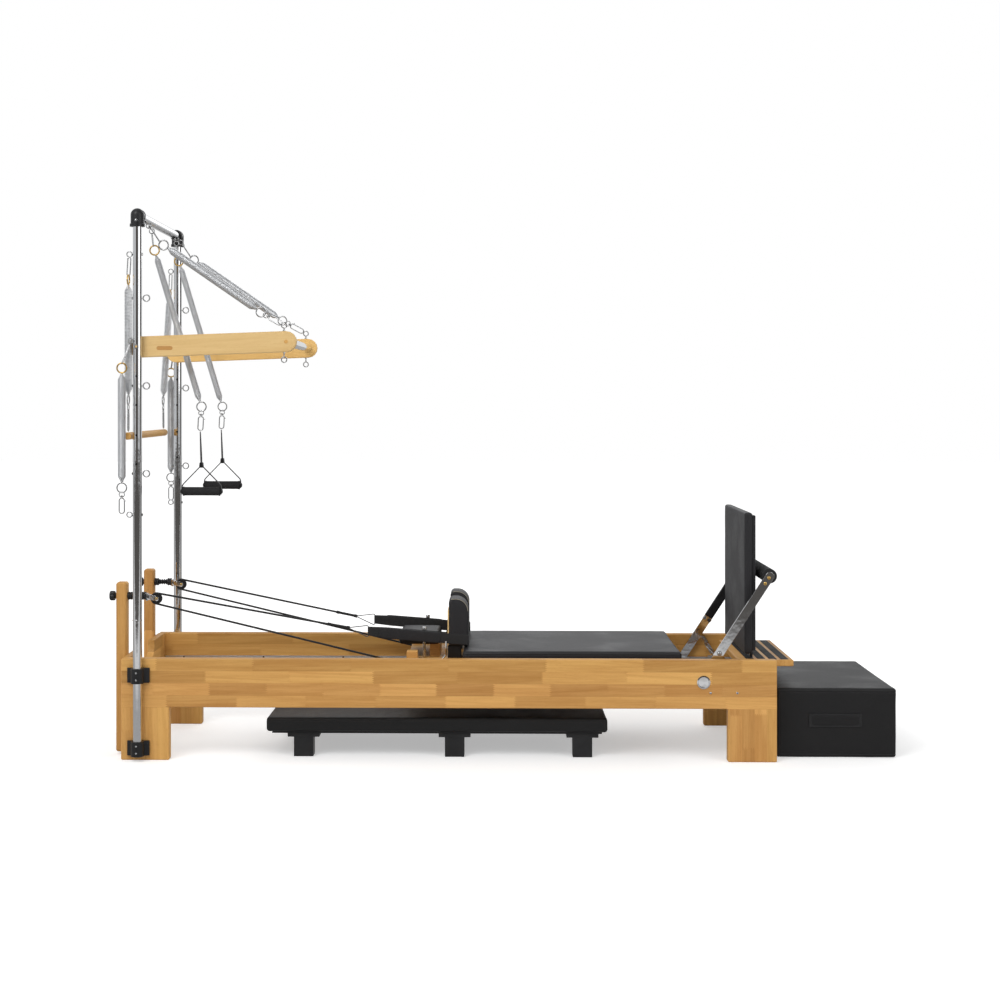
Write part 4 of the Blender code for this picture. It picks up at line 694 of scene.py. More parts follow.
def vinyl(name, tone, grain=0.0016, roughness=(0.38, 0.50)):
    """Upholstery vinyl: one tone with soft patches, pebbled, darker in the pressed-in edges between pebbles
    as painted shade, and a little shinier where it is handled.
    """
    look, tree, shader, coords = blank(name, 0.45, Specular_IOR_Level=0.34)
    pebbles = placed(tree, LEATHER_GRAIN, {"Place": coords["Object"], "Size": grain})
    worn = placed(tree, HANDLING, {"Place": coords["Object"], "Patch": 0.22})["Mask"]
    colour = mixed(tree, worn, shaded(tone), shaded(tone, 1.25))
    # Painted shade: the pressed-in edges between pebbles are darkened to 0.6 of the tone
    colour = mixed(tree, calc(tree, "SUBTRACT", 1.0, pebbles["Cells"]), colour, shaded(tone, 0.6))
    wire_up(tree, shader, Base_Color=colour, Normal=bump(tree, pebbles["Height"], 0.00012),
            Roughness=ramp(tree, worn, 0.0, 1.0, roughness[1], roughness[0]))
    return look


def metal(name, tone, roughness, brushed=None, patch=0.12, waves=0.0):
    """Bare or plated metal, dulled in patches.

    brushed gives the axis that its fine lines follow, and waves the height of the slight unevenness
    under a plated surface.
    """
    look, tree, shader, coords = blank(name, roughness[0], Metallic=1.0)
    shade = placed(tree, HANDLING, {"Place": coords["Object"], "Patch": patch})["Mask"]
    colour = mixed(tree, shade, shaded(tone), shaded(tone, 0.90))
    wire_up(tree, shader, Base_Color=colour, Roughness=ramp(tree, shade, 0.0, 1.0, *roughness))
    if brushed is not None:
        stretch = [1600.0] * 3
        stretch[brushed] = 4.0
        lines = put(tree, "ShaderNodeMapping", {"Vector": coords["Object"], "Scale": stretch}).outputs[0]
        wire_up(tree, shader, Normal=bump(tree, noise(tree, lines, 1.0, 2.0), 0.00004))
    if waves:
        wire_up(tree, shader, Normal=bump(tree, noise(tree, coords["Object"], 14.0, 3.0), waves, 0.5))
    return look


def moulded(name, tone, roughness=(0.32, 0.46), stipple=0.0009, depth=0.00006):
    """Moulded plastic or paint: a stippled skin with duller patches."""
    look, tree, shader, coords = blank(name, roughness[0], Specular_IOR_Level=0.35)
    worn = placed(tree, HANDLING, {"Place": coords["Object"], "Patch": 0.06})["Mask"]
    skin_noise = noise(tree, coords["Object"], 1 / stipple, 3.0, 0.6)
    colour = mixed(tree, worn, shaded(tone), shaded(tone, 1.5))
    wire_up(tree, shader, Base_Color=colour, Normal=bump(tree, skin_noise, depth),
            Roughness=ramp(tree, worn, 0.0, 1.0, *roughness))
    return look


def foam(name, tone):
    """Foam rubber: small open pores, darkened towards their bottoms as painted shade, over soft mottling."""
    look, tree, shader, coords = blank(name, 0.85, Specular_IOR_Level=0.3)
    pore = 0.0011
    cells = put(tree, "ShaderNodeTexVoronoi", {"Vector": coords["Object"], "Scale": 1 / pore})
    pit = ramp(tree, cells.outputs["Distance"], 0.10, 0.55)
    mottle = noise(tree, coords["Object"], 60.0, 4.0)
    # Painted shade: the colour is darkest at the bottom of each pore
    colour = mixed(tree, calc(tree, "MULTIPLY", pit, mottle), shaded(tone, 0.5), shaded(tone, 1.7))
    wire_up(tree, shader, Base_Color=colour, Normal=bump(tree, pit, 0.0003, 0.6),
            Roughness=ramp(tree, mottle, 0.3, 0.7, 0.72, 0.92))
    return look


def woven(name, tone, pitch=0.0022, depth=0.0003):
    """Woven tape or cord on the piece's own UV map."""
    look, tree, shader, coords = blank(name, 0.75, Sheen_Weight=0.2, Sheen_Roughness=0.5)
    cloth = placed(tree, WEAVE, {"UV": coords["UV"], "Pitch": pitch})
    fuzz = noise(tree, coords["Object"], 900.0, 3.0)
    colour = mixed(tree, cloth["Threads"], shaded(tone, 0.35), shaded(tone, 1.3))
    wire_up(tree, shader, Base_Color=colour, Normal=bump(tree, cloth["Height"], depth, 0.8),
            Roughness=ramp(tree, fuzz, 0.3, 0.7, 0.66, 0.9))
    return look


RAIL_LOOK = {
    name: wood(f"side_frame_maple_{name}", 0, 2, seed=3.0 + side, origin=(-HEAD, 0, -RAIL_BOTTOM), legs=True)
    for name, side in SIDES.items()
}
BOARD_WOOD = wood("end_board_maple", 1, 2, seed=7.0, origin=(0, 0, -RAIL_BOTTOM))
DECK_WOOD = wood("deck_maple", 0, 1, seed=11.0, strip=0.048)
PLATFORM_WOOD = wood("platform_maple", 1, 0, seed=15.0, strip=0.042)
RISER_WOOD = wood("riser_maple", 2, 1, seed=19.0, strip=0.0245, piece=0.9)
ARM_WOOD = wood("push_arm_maple", 0, 2, PALE, seed=23.0, strip=0.20, piece=2.0, origin=(0, 0, -1.40))
# The far push arm's wood, darker than the near one's as painted shade
FAR_ARM_PAINTED_SHADE_WOOD = wood("far_push_arm_maple_painted_shade", 0, 2, PALE_IN_PAINTED_SHADE, seed=24.0, strip=0.20, piece=2.0,
                    origin=(0, 0, -1.40))
# Painted shadow of the post and its pivot nut on the near push arm's outer face
POST_SHADOW_WOOD = wood("push_arm_painted_shadow", 0, 2, POST_SHADOW_TONES, seed=31.0, strip=0.2)
BAR_WOOD = wood("roll_bar_maple", 1, 2, HONEY, seed=27.0, strip=0.2, piece=3.0, origin=(0, 0, -1.10))
CHARCOAL = vinyl("charcoal_vinyl", (0.0230, 0.0225, 0.0255), roughness=(0.44, 0.56))
BOX_VINYL = vinyl("sitting_box_vinyl", (0.0130, 0.0126, 0.0134), grain=0.0018, roughness=(0.42, 0.54))
MAT_VINYL = vinyl("mat_vinyl", (0.0130, 0.0130, 0.0134), grain=0.0014)
CHROME = metal("polished_chrome", (0.78, 0.785, 0.795), (0.05, 0.12), waves=0.0012)
STEEL = metal("spring_wire", (0.83, 0.84, 0.855), (0.46, 0.58), patch=0.05)
ZINC = metal("zinc_plated_steel", (0.52, 0.525, 0.53), (0.24, 0.38), patch=0.03)
DARK_STEEL = metal("oiled_steel_wire", (0.16, 0.16, 0.165), (0.30, 0.44), patch=0.02)
BRASS = metal("yellow_zinc", (0.72, 0.47, 0.15), (0.24, 0.38), patch=0.02)
ALUMINIUM = metal("drawn_aluminium", (0.70, 0.71, 0.72), (0.28, 0.40), brushed=0)
BLACK = moulded("black_moulding", (0.012, 0.012, 0.013))
GRIP = moulded("grip_strip", (0.016, 0.016, 0.017), (0.70, 0.86), 0.0012, 0.0004)
PAINT = moulded("black_paint", (0.016, 0.016, 0.017), (0.42, 0.55), 0.002, 0.00003)
FOAM = foam("foam_rubber", (0.018, 0.018, 0.019))
CREAM = vinyl("cream_piping", (0.42, 0.38, 0.30), grain=0.0008)
TAPE = woven("black_webbing", (0.012, 0.012, 0.013))
CORD = woven("black_cord", (0.010, 0.010, 0.011), 0.0016, 0.0002)


# Small hardware

def button_screw(centre, normal, radius=0.005):
    """A domed screw head with a hexagon socket, as a profile turned round its axis."""
    rise = radius * 0.45
    profile = [(radius, 0), (radius, rise * 0.35), (radius * 0.8, rise * 0.8), (radius * 0.5, rise),
               (radius * 0.42, rise), (radius * 0.36, rise * 0.25)]
    return turned(profile, centre, normal, 24)


def hex_nut(centre, normal, radius, height):
    """A nut: a six-sided bar, its corners broken by a smaller outline at both ends."""
    profile = [(radius * 0.9, 0), (radius, height * 0.12), (radius, height * 0.88), (radius * 0.9, height)]
    return turned(profile, centre, normal, 6)


def link_loop(top, bottom, half_width, wire, facing):
    """A long closed link: an oval of two straight runs and two half turns, carried round as wire."""
    top, bottom = np.asarray(top, float), np.asarray(bottom, float)
    along = unit(bottom - top)
    across = unit(np.cross(along, facing))
    turn = np.linspace(0, np.pi, 13)
    upper = top + along * (half_width + wire)
    lower = bottom - along * (half_width + wire)
    over = upper - half_width * (np.cos(turn)[:, None] * across + np.sin(turn)[:, None] * along)
    under = lower + half_width * (np.cos(turn)[:, None] * across + np.sin(turn)[:, None] * along)
    return carried(circle(wire, 12), np.concatenate([over, under]), facing, loop=True)


def snap_hook(top, bottom, facing):
    """A swivel snap: an eye and a waisted swivel above, then a long closed hook with its gate's stud."""
    wire = 0.0021
    top, bottom = np.asarray(top, float), np.asarray(bottom, float)
    along = unit(bottom - top)
    length = np.linalg.norm(bottom - top)
    across = unit(np.cross(along, facing))
    neck = top + along * length * 0.26
    half_width = min(0.0095, length * 0.16)
    hook = link_loop(neck, bottom, half_width, wire, facing)
    swivel = [(0.002, -0.002), (0.0048, 0), (0.0036, 0.003), (0.0036, 0.006), (0.0048, 0.009), (0.002, 0.011)]
    eye = ring(top + along * length * 0.12, facing, length * 0.12, wire * 0.8, 28, 10)
    gate = neck + along * 0.012 + across * half_width
    stud = rod(gate + across * 0.001, gate + across * 0.006, 0.0014, 12)
    return [hook, turned(swivel, neck - along * 0.006, along, 20), eye, stud]


def eyebolt(centre, toward, radius=0.0118, wire=0.0024, facing=(0, 1, 0), reach=0.016):
    """A ring on a shank with a nut and washer where the shank enters what carries it."""
    toward = unit(np.asarray(toward, float))
    centre = np.asarray(centre, float)
    start = centre + toward * radius
    end = centre + toward * (radius + reach)
    return [
        ring(centre, facing, radius, wire, 32, 12),
        rod(start, end, wire, 16),
        turned(rod_profile(0.0062, 0.0015, 0.0003), end - toward * 0.006, toward, 24),
        hex_nut(end - toward * 0.0045, toward, NUT, NUT_HEIGHT),
    ]


# The wooden frame

def wooden_frame():
    """The CAD boards with their finish, and the screws, covers and grip strips that show on them."""
    cover_x, cover_z = 2.1295, 0.2906
    side_screw_z, track_screw_z = 0.252, 0.2745
    strip_width, strip_reach = 0.029, 0.238
    for name in SIDES:
        finished(f"side_frame_{name}", RAIL_LOOK[name], 0.0018)
        finished(f"riser_{name}", RISER_WOOD, 0.0025)
        finished(f"track_{name}", ALUMINIUM, 0.0004)
    finished("head_board", BOARD_WOOD, 0.0018)
    finished("foot_board", BOARD_WOOD)
    finished("foot_platform", PLATFORM_WOOD)
    finished("carriage_deck", DECK_WOOD)
    finished("mat_base", PAINT)
    finished("jump_board_back", CHARCOAL)
    for name, side in SIDES.items():
        outer = side * HALF_WIDTH
        out = (0, side, 0)
        cover = [(0.0245, 0), (0.0250, 0.0006), (0.0240, 0.0026), (0.0200, 0.0030), (0.0188, 0.0016),
                 (0.004, 0.0010)]
        covers = [turned(cover, (cover_x, outer, cover_z), out, 48)]
        made(f"pivot_cover_{name}", CHROME, covers, "frame")
        screws = [button_screw((x, outer, side_screw_z), out, 0.0042) for x in (2.155, 2.252)]
        made(f"side_screws_{name}", ZINC, screws, "frame")
        lip = side * (RAIL_INNER - 0.0034)
        places = np.arange(0.104, 2.10, 0.325)
        heads = [button_screw((x, lip, track_screw_z), (0, -side, 0), 0.0036) for x in places]
        made(f"track_screws_{name}", BLACK, heads, "frame")
    outlines = [rectangle((x, -strip_reach), (x + strip_width, strip_reach), 0.004)
                for x in (2.303, 2.345, 2.387, 2.429)]
    strips = [slab(outline, 0.3570, 0.3582, 0.0004, (0, 1, 2)) for outline in outlines]
    made("platform_grip_strips", GRIP, strips, "frame")


# Ropes and pulleys

def pulleys():
    """Knobs, threaded rods, couplers, forks and grooved wheels, all turned or cut from outlines."""
    for name, side in SIDES.items():
        y = side * RISER_Y
        axis = (1, 0, 0)
        knob = [(0.010, 0), (0.0165, 0.0015), (0.018, 0.005), (0.018, 0.016), (0.0165, 0.0200),
                (0.009, 0.022)]
        stem = [(0.010, 0.0005), (0.0105, 0.002), (0.009, 0.006)]
        coupler = [(0.0125, 0), (0.0148, 0.0015), (0.0148, 0.0060), (0.0128, 0.0085), (0.0148, 0.0110),
                   (0.0148, 0.0155), (0.0125, 0.017)]
        fold = np.linspace(0, 1, 41)
        bellows = np.stack([0.0092 - 0.0022 * np.cos(2 * np.pi * 4 * fold), 0.0006 + 0.0342 * fold], axis=1)
        black = [
            turned(knob, (-0.068, y, ROD_Z), axis, 72, 12, 0.12),
            turned(stem, (-0.0463, y, ROD_Z), axis, 32),
            rod((-0.050, y, ROD_Z), (0.001, y, ROD_Z), 0.006),
            turned(coupler, (0.0003, y, ROD_Z), axis, 60, 20, 0.05),
            turned(bellows, (0.0168, y, ROD_Z), axis, 40),
            turned(coupler, (0.052, y, ROD_Z), axis, 60, 20, 0.05),
        ]
        made(f"pulley_rod_black_{name}", BLACK, black, "frame", stands_for=[f"pulley_rod_{name}"])
        bridge = slab(rectangle((0.0685, 0.5700), (0.0755, 0.5980), 0.002, 5), y - 0.0088, y + 0.0088, 0.0008)
        cheek = capsule((0.080, 0.5835), WHEEL, 0.0092)
        cheeks = [slab(cheek, y + low, y + low + 0.0026, 0.0005, rings=3) for low in (-0.0090, 0.0064)]
        pin = [rod((WHEEL[0], y - 0.0102, WHEEL[1]), (WHEEL[0], y + 0.0102, WHEEL[1]), 0.0042, 24)]
        made(f"pulley_fork_{name}", CHROME, cheeks + [bridge] + pin, "frame")
        hub = [button_screw((WHEEL[0], y + way * 0.0090, WHEEL[1]), (0, way, 0), 0.0052)
               for way in (-1, 1)]
        made(f"pulley_bolt_{name}", BRASS, hub, "frame")
        groove = np.linspace(-np.pi / 2, np.pi / 2, 9)
        floor = np.stack([0.0205 - 0.0046 * np.cos(groove), 0.0038 * np.sin(groove)], axis=1)
        rim = [(0.0043, -0.0060), (0.0085, -0.0060), (0.0095, -0.0050), (0.0165, -0.0050), (0.0175, -0.0060),
               (0.0198, -0.0060), (0.0205, -0.0052), *floor, (0.0205, 0.0052), (0.0198, 0.0060),
               (0.0175, 0.0060), (0.0165, 0.0050), (0.0095, 0.0050), (0.0085, 0.0060), (0.0043, 0.0060)]
        wheel = turned(rim, (WHEEL[0], y, WHEEL[1]), (0, 1, 0), 64)
        made(f"pulley_grooved_{name}", BLACK, [wheel], f"pulley_{name}", stands_for=[f"pulley_wheel_{name}"])


def rope_path():
    """A rope's middle line as x and z, from under its wheel round the head end's side to its top.

    It starts at right angles to the line from the wheel to the rope's tie on the carriage, and ends
    at right angles to the line to the foot loop.
    """
    wheel, tie, apex = np.array(WHEEL), np.array(ROPE_TIE)[[0, 2]], np.array(ROPE_APEX)[[0, 2]]
    low, top = tie - wheel, apex - wheel
    start = 1.5 * math.pi + math.atan2(low[1], low[0])
    stop = 0.5 * math.pi + math.atan2(top[1], top[0])
    turn = np.linspace(start, stop, 25)
    return wheel + WRAP_RADIUS * np.stack([np.cos(turn), np.sin(turn)], axis=1)


# Where each rope run is cut, as shares of its length, and the share of the carriage's way at each cut
ROPE_CUTS = {
    "lower": ((0, 0), (0.04, 0.04), (0.20, 0.20), (0.80, 0.80), (0.96, 0.96), (1, 1)),
    "upper": ((0, 0), (0.20, 0.11), (0.80, 0.78), (0.96, 0.955), (1, 1)),
}


def rope_thickness(path, apex):
    """A rope's thickness along a path as a share of its own, by the distance left to the foot loop.

    It is thicker over its splice, with a lump at the splice's start and a knot at the loop.
    """
    left = np.linalg.norm(path - apex, axis=1)
    splice = left < 0.085
    lump = abs(left - 0.078) < 0.006
    knot = left < 0.012
    return 1.0 + (0.35 * splice + 0.35 * knot + 0.25 * lump)


def ropes():
    """Two runs for each rope, one from its wheel to the carriage and one from its wheel to the foot loop.

    Each run is made in parts between the cuts in ROPE_CUTS. The upper one's shares of the carriage's way lag
    near its wheel, because the loops pass the wheels at the carriage's limit.
    """
    arc = rope_path()
    for name, side in SIDES.items():
        y = side * RISER_Y
        wrap = np.stack([arc[:, 0], np.full(len(arc), y), arc[:, 1]], axis=1)
        middle = len(wrap) // 2
        tie = np.array((ROPE_TIE[0] + 0.004, y, ROPE_TIE[2]))
        apex = np.array((ROPE_APEX[0] + 0.003, side * ROPE_APEX[1], ROPE_APEX[2]))
        runs = (("lower", wrap[middle + 1::-1], tie, 90), ("upper", wrap[middle:], apex, 420))
        for run, bend, far, steps in runs:
            way = far - bend[-1]
            cuts = ROPE_CUTS[run]
            for index, ((low, low_share), (high, high_share)) in enumerate(zip(cuts, cuts[1:])):
                path = bend[-1] + way * np.linspace(low, high, 3 + int(steps * (high - low)))[:, None]
                if low == 0:
                    path = np.concatenate([bend[:-1], path])
                cord = carried(circle(ROPE_RADIUS, 16), path, (0, 1, 0), rope_thickness(path, apex))
                piece = made(f"rope_{run}_{index + 1}_{name}", CORD, [cord])
                if run == "lower" and low == 0:
                    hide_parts(f"rope_{name}")
                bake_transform(piece)


def loop_level(x):
    """The height of a foot loop's middle line: it falls evenly from its nose to its foot end."""
    nose_z, fall, length = 0.448, 0.030, 0.378
    return nose_z - fall * (x - LOOP_NOSE_X) / length


def loop_line(side):
    """A foot loop's line: a narrow nose, two runs, and round the shoulder rest."""
    inner, outer, head, foot = 0.0580, 0.1820, 1.1900, 1.2720
    nose, middle, corner = LOOP_OUTER_RUN
    corners = [nose, (LOOP_NOSE_X, 0.157), (head - 0.004, 0.152), (head, inner), (foot, inner), (foot, outer),
               corner, middle]
    level = loop_level(np.array(corners)[:, 0])
    flat = np.array([(x, side * y, z) for (x, y), z in zip(corners, level)])
    return eased(flat, 0.007, 0.002, loop=True)


def foot_loops():
    """Webbing on edge round each shoulder rest, a padded sleeve over its outer run, and the wire."""
    sleeve_start, sleeve_end = 0.935, 1.165
    for name, side in SIDES.items():
        line = loop_line(side)
        narrow = np.interp(line[:, 0], (LOOP_NOSE_X, 0.960), (0.84, 1.0))
        tape = carried(band(0.0026, 0.038), line, (0, 0, 1), narrow, loop=True)
        made(f"foot_loop_webbing_{name}", TAPE, [tape], "carriage", stands_for=[f"foot_loop_{name}"])
        x = np.linspace(sleeve_start, sleeve_end, 70)
        outer = np.interp(x, *zip(*LOOP_OUTER_RUN))
        flat = np.stack([x, side * (outer + 0.0022), loop_level(x)], axis=1)
        soft = 1 - 0.35 * np.exp(-np.minimum(x - sleeve_start, sleeve_end - x) / 0.004)
        sleeve = carried(band(0.0058, 0.0415, 28), flat, (0, 0, 1), soft)
        made(f"foot_loop_sleeve_{name}", CHARCOAL, [sleeve], "carriage")
        y = side * ROPE_APEX[1]
        corners = [(0.8205, 0.4612), (0.8185, 0.4600), (0.8205, 0.4588), (0.888, 0.427), (0.8935, 0.430),
                   (0.8935, 0.466), (0.888, 0.469)]
        wire = eased([(x, y, z) for x, z in corners], 0.003, 0.0012, loop=True)
        made(f"foot_loop_wire_{name}", DARK_STEEL, [carried(circle(0.0018, 12), wire, (0, 1, 0), loop=True)],
             "carriage")


# The carriage

def carriage():
    """Pad, headrest and shoulder rests, the hardware at the head end, the wheels and the springs."""
    pad = cushion((1.2506, -0.2796, 0.3456), (2.0594, 0.2796, 0.3895), 0.013, crown=(0, 0, 0.003), pull=0.003,
                  seams=[(2, 0.031, 0.0011)], slack=0.0004)
    piece = made("carriage_cushion", CHARCOAL, [pad], "carriage", stands_for=["carriage_pad"])
    rest = cushion((1.0058, -0.1288, 0.3926), (1.1612, 0.1288, 0.4310), 0.014, crown=(0, 0, 0.0045),
                   pull=0.003, seams=[(2, 0.026, 0.0011)], slack=0.0004, spacing=0.008)
    piece = made("headrest_cushion", CHARCOAL, [rest], "headrest", stands_for=["headrest"])
    for name, side in SIDES.items():
        shoulder_rest(name, side)
        rope_hardware(name, side)
    for end in ("head", "foot"):
        worked_copy(f"wheelset_{end}", BLACK, f"wheelset_{end}")
    springs_below()


def shoulder_rest(name, side):
    """A pad on a board and a base, piping on one edge of the pad, and a peg into the deck."""
    body = f"shoulder_{name}"
    outline = rectangle((1.1965, 0.3947), (1.2698, 0.5718), [0.0115, 0.0130, 0.0460, 0.0160], 14)
    low, high = sorted((side * 0.0605, side * 0.1795))
    piece = made(f"shoulder_cushion_{name}", CHARCOAL, [slab(outline, low, high, 0.010, swell=0.0012)],
                 body, stands_for=[f"shoulder_rest_{name}"])
    board = rectangle((1.1922, 0.3965), (1.1972, 0.528), 0.0018, 4)
    made(f"shoulder_board_{name}", ARM_WOOD, [slab(board, low + 0.005, high - 0.005, 0.0015)], body)
    base = rectangle((1.193, 0.3458), (1.243, 0.3938), 0.002, 4)
    made(f"shoulder_base_{name}", BLACK, [slab(base, low + 0.012, high - 0.012, 0.0015)], body)
    made(f"shoulder_piping_{name}", CREAM, shoulder_piping(outline, side), body)
    peg = rod((1.221, side * SHOULDER_Y, 0.3456), (1.221, side * SHOULDER_Y, 0.400), 0.008)
    made(f"shoulder_peg_{name}", CHROME, [peg], body)


def rope_hardware(name, side):
    """A strap's peg and bent hanger, and the block, knot and tail of a rope on the deck."""
    y = {"near": -0.1395, "far": 0.202}[name]
    stud = turned([(0.0052, 0), (0.0055, 0.0005), (0.0055, 0.100), (0.0076, 0.1015), (0.0080, 0.103),
                   (0.0080, 0.1145), (0.0072, 0.116)], (1.103, y, DECK_TOP + 0.0003), (0, 0, 1), 32)
    made(f"strap_peg_{name}", ZINC, [stud], "carriage")
    y = side * 0.213
    hanger = eased([(1.092, y, 0.3500), (1.172, y, 0.3500), (1.187, y, 0.364), (1.187, y, 0.418)],
                   0.012, 0.002)
    made(f"strap_hanger_{name}", CHROME, [carried(circle(0.0040, 16), hanger, (0, 1, 0))], "carriage")
    block = rectangle((1.042, 0.3453), (1.083, 0.386), 0.003, 5)
    low, high = sorted((side * 0.212, side * 0.258))
    made(f"rope_block_{name}", DECK_WOOD, [slab(block, low, high, 0.002)], "carriage")
    y = side * RISER_Y
    knot = [(0.0030, 0), (0.0062, 0.0022), (0.0072, 0.0060), (0.0060, 0.0100), (0.0066, 0.0130),
            (0.0050, 0.0165), (0.0026, 0.0180)]
    tail = eased([(1.084, y, 0.3520), (1.100, y, 0.3505), (1.122, side * 0.226, 0.3488)], 0.006, 0.002)
    made(f"rope_knot_{name}", CORD, [turned(knot, (1.0835, y, 0.3535), (1, 0, 0), 24),
                                     carried(circle(ROPE_RADIUS, 12), tail)], "carriage")


def shoulder_piping(outline, side):
    """A thin cord sewn along the near edge of a shoulder rest's top: the outline's own upper points,
    moved in by about the cord's radius."""
    upper = inset(outline, 0.0012)
    upper = upper[(upper[:, 1] > 0.522) & (upper[:, 0] > 1.205)]
    y = np.full(len(upper), side * SHOULDER_Y - 0.0585)
    path = np.stack([upper[:, 0], y, upper[:, 1]], axis=1)
    return [carried(circle(0.0011, 10), eased(path[np.argsort(path[:, 0])], 0.004, 0.0015), (0, 1, 0))]


def springs_below():
    """The springs under the carriage and the flat bar that they hook on."""
    bar = rectangle((2.335, 0.242), (2.351, 0.276), 0.002, 5)
    made("carriage_spring_bar", STEEL, [slab(bar, -0.2732, 0.2732, 0.001)], "frame",
         stands_for=["carriage_spring_pack"])
    for index, y in enumerate((-0.18, -0.06, 0.06, 0.18)):
        coils = coil((1.292, y, 0.259), (2.339, y, 0.259), 0.011, 0.0015, per_turn=10, sides=5)
        piece = made(f"carriage_spring_{index + 1}", STEEL, [coils], crease=180)
        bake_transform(piece)


# The foot end

def footbar():
    """The footbar and its strut, its foam, the sleeve and clip on its far arm, rivets and bolts."""
    grip_x, grip_z = FOOTBAR_GRIP
    bolt_x, bolt_z = 2.195, 0.387
    worked_copy("footbar_frame", CHROME, "footbar")
    worked_copy("footbar_strut", CHROME, "footbar_strut")
    grip = [(0.0255, 0), (0.0270, 0.0015), (0.0270, 0.5719), (0.0255, 0.5734)]
    foam_tube = turned(grip, (grip_x, -0.2867, grip_z), (0, 1, 0), 48)
    made("footbar_foam", FOAM, [foam_tube], "footbar", stands_for=["footbar_grip"])
    start, end = (np.array((x, 0.290, z)) for x, z in (FOOTBAR_PIVOT, FOOTBAR_GRIP))
    share = np.linspace(0.41, 0.94, 24)[:, None]
    sleeve = carried(band(0.0350, 0.0100), start + (end - start) * share, (0, 1, 0))
    made("far_arm_sleeve", BLACK, [sleeve], "footbar")
    share = np.linspace(0.375, 0.405, 6)[:, None]
    clip = carried(band(0.0370, 0.0120), start + (end - start) * share, (0, 1, 0))
    made("far_arm_clip", CHROME, [clip], "footbar")
    for name, side in SIDES.items():
        places = [start + (end - start) * s for s in (0.93, 0.985)]
        heads = [button_screw((p[0], side * 0.2931, p[2]), (0, side, 0), 0.0062) for p in places]
        made(f"footbar_rivets_{name}", BRASS, heads, "footbar")
        washer = rod_profile(0.0095, 0.0012, 0.0003)
        heads = [turned(washer, (bolt_x, side * 0.2929, bolt_z), (0, side, 0), 32),
                 button_screw((bolt_x, side * 0.2941, bolt_z), (0, side, 0), 0.0066)]
        made(f"strut_bolt_{name}", ZINC, heads, "footbar")


def foot_end():
    """Footbar, jump board, sitting box and stored mat."""
    footbar()
    pad = cushion((2.2933, -0.2546, 0.3784), (2.3227, 0.2546, 0.9016), 0.009, pull=0.0015,
                  under=(0.0004, 0, 0), seams=[(0, 0.020, 0.0009)])
    piece = made("jump_board_cushion", CHARCOAL, [pad], "jump_board", stands_for=["jump_board_pad"])
    box = cushion((2.4078, -0.2696, 0.0008), (2.8482, 0.3696, 0.2555), 0.011, crown=(0, 0, 0.004),
                  pull=0.0025, slack=0.0005,
                  seams=[(2, 0.240, 0.0012), (2, 0.014, 0.0010), (0, 0.012, 0.0008), (0, 0.429, 0.0008)])
    piece = made("sitting_box_cover", BOX_VINYL, [box], "sitting_box", stands_for=["sitting_box"])
    sitting_box_handle()
    mat = cushion((0.5264, -0.2996, 0.0952), (1.7846, 0.2996, 0.1478), 0.012, crown=(0, 0, 0.003),
                  pull=0.0025, seams=[(2, 0.040, 0.0010)], slack=0.0004)
    piece = made("mat_cushion", MAT_VINYL, [mat], "stored_mat", stands_for=["mat_pad"])


def sitting_box_handle():
    """A strap let into the box's near face, drawn in and stitched down at both ends."""
    half = 0.0935
    x = np.linspace(-half, half, 81)
    rise = 0.0032 * (1 - (x / half) ** 8)
    path = np.stack([2.6245 + x, -0.2672 - rise, np.full(len(x), 0.138)], axis=1)
    gather = 1 - 0.16 * (np.abs(x) / half) ** 6
    strap = carried(band(0.036, 0.0036), path, (0, 1, 0), gather)
    well = rectangle((2.5265, 0.1135), (2.7225, 0.1625), 0.004)
    made("sitting_box_well", PAINT, [slab(well, -0.2703, -0.2680, 0.0005)], "sitting_box")
    made("sitting_box_strap", BOX_VINYL, [strap], "sitting_box")
    tacks = [slab(rectangle((x - 0.0016, 0.117), (x + 0.0016, 0.159), 0.0012, 5), -0.2722, -0.2692, 0.0008)
             for x in (2.5330, 2.7160)]
    made("sitting_box_tacks", CORD, tacks, "sitting_box")


# The tower

def tower():
    """Posts with their holes and eyes, elbows, clamps with their screws, and the crossbar."""
    for name, side in SIDES.items():
        y = side * POST_Y
        profile = rod_profile(POST_RADIUS, POST_TOP - POST_BOTTOM, 0.001)
        post = made(f"post_{name}", CHROME, [turned(profile, (POST_X, y, POST_BOTTOM), (0, 0, 1), 96)],
                    "frame", stands_for=[f"tower_post_{name}"])
        drill(post, name, side)
        made(f"post_eyes_{name}", ZINC, post_eyes(side), "frame")
        lip = POST_RADIUS + 0.0012
        collar = [(POST_RADIUS, 0), (lip, 0.0006), (lip, 0.0044), (POST_RADIUS, 0.005)]
        made(f"post_collar_{name}", CHROME, [turned(collar, (POST_X, y, 0.5125), (0, 0, 1), 48)], "frame")
        elbow(name, side)
        clamps(name, side)
    reach = POST_Y - 0.020
    bar = rod((POST_X, -reach, TOWER_BAR_Z), (POST_X, reach, TOWER_BAR_Z), POST_RADIUS, 96)
    made("crossbar", CHROME, [bar], "frame", stands_for=["tower_crossbar"])
    eyes = []
    for side in SIDES.values():
        for y, (x, z) in ((PUSH_SPRING_Y, PUSH_HOOK), (ARM_SPRING_Y, ARM_HOOK)):
            centre = np.array((x, side * y, z))
            toward = np.array((POST_X, side * y, TOWER_BAR_Z)) - centre
            eyes += eyebolt(centre, toward, SMALL_EYE, SMALL_EYE_WIRE, reach=0.012)
    made("crossbar_eyes", ZINC, eyes, "frame")


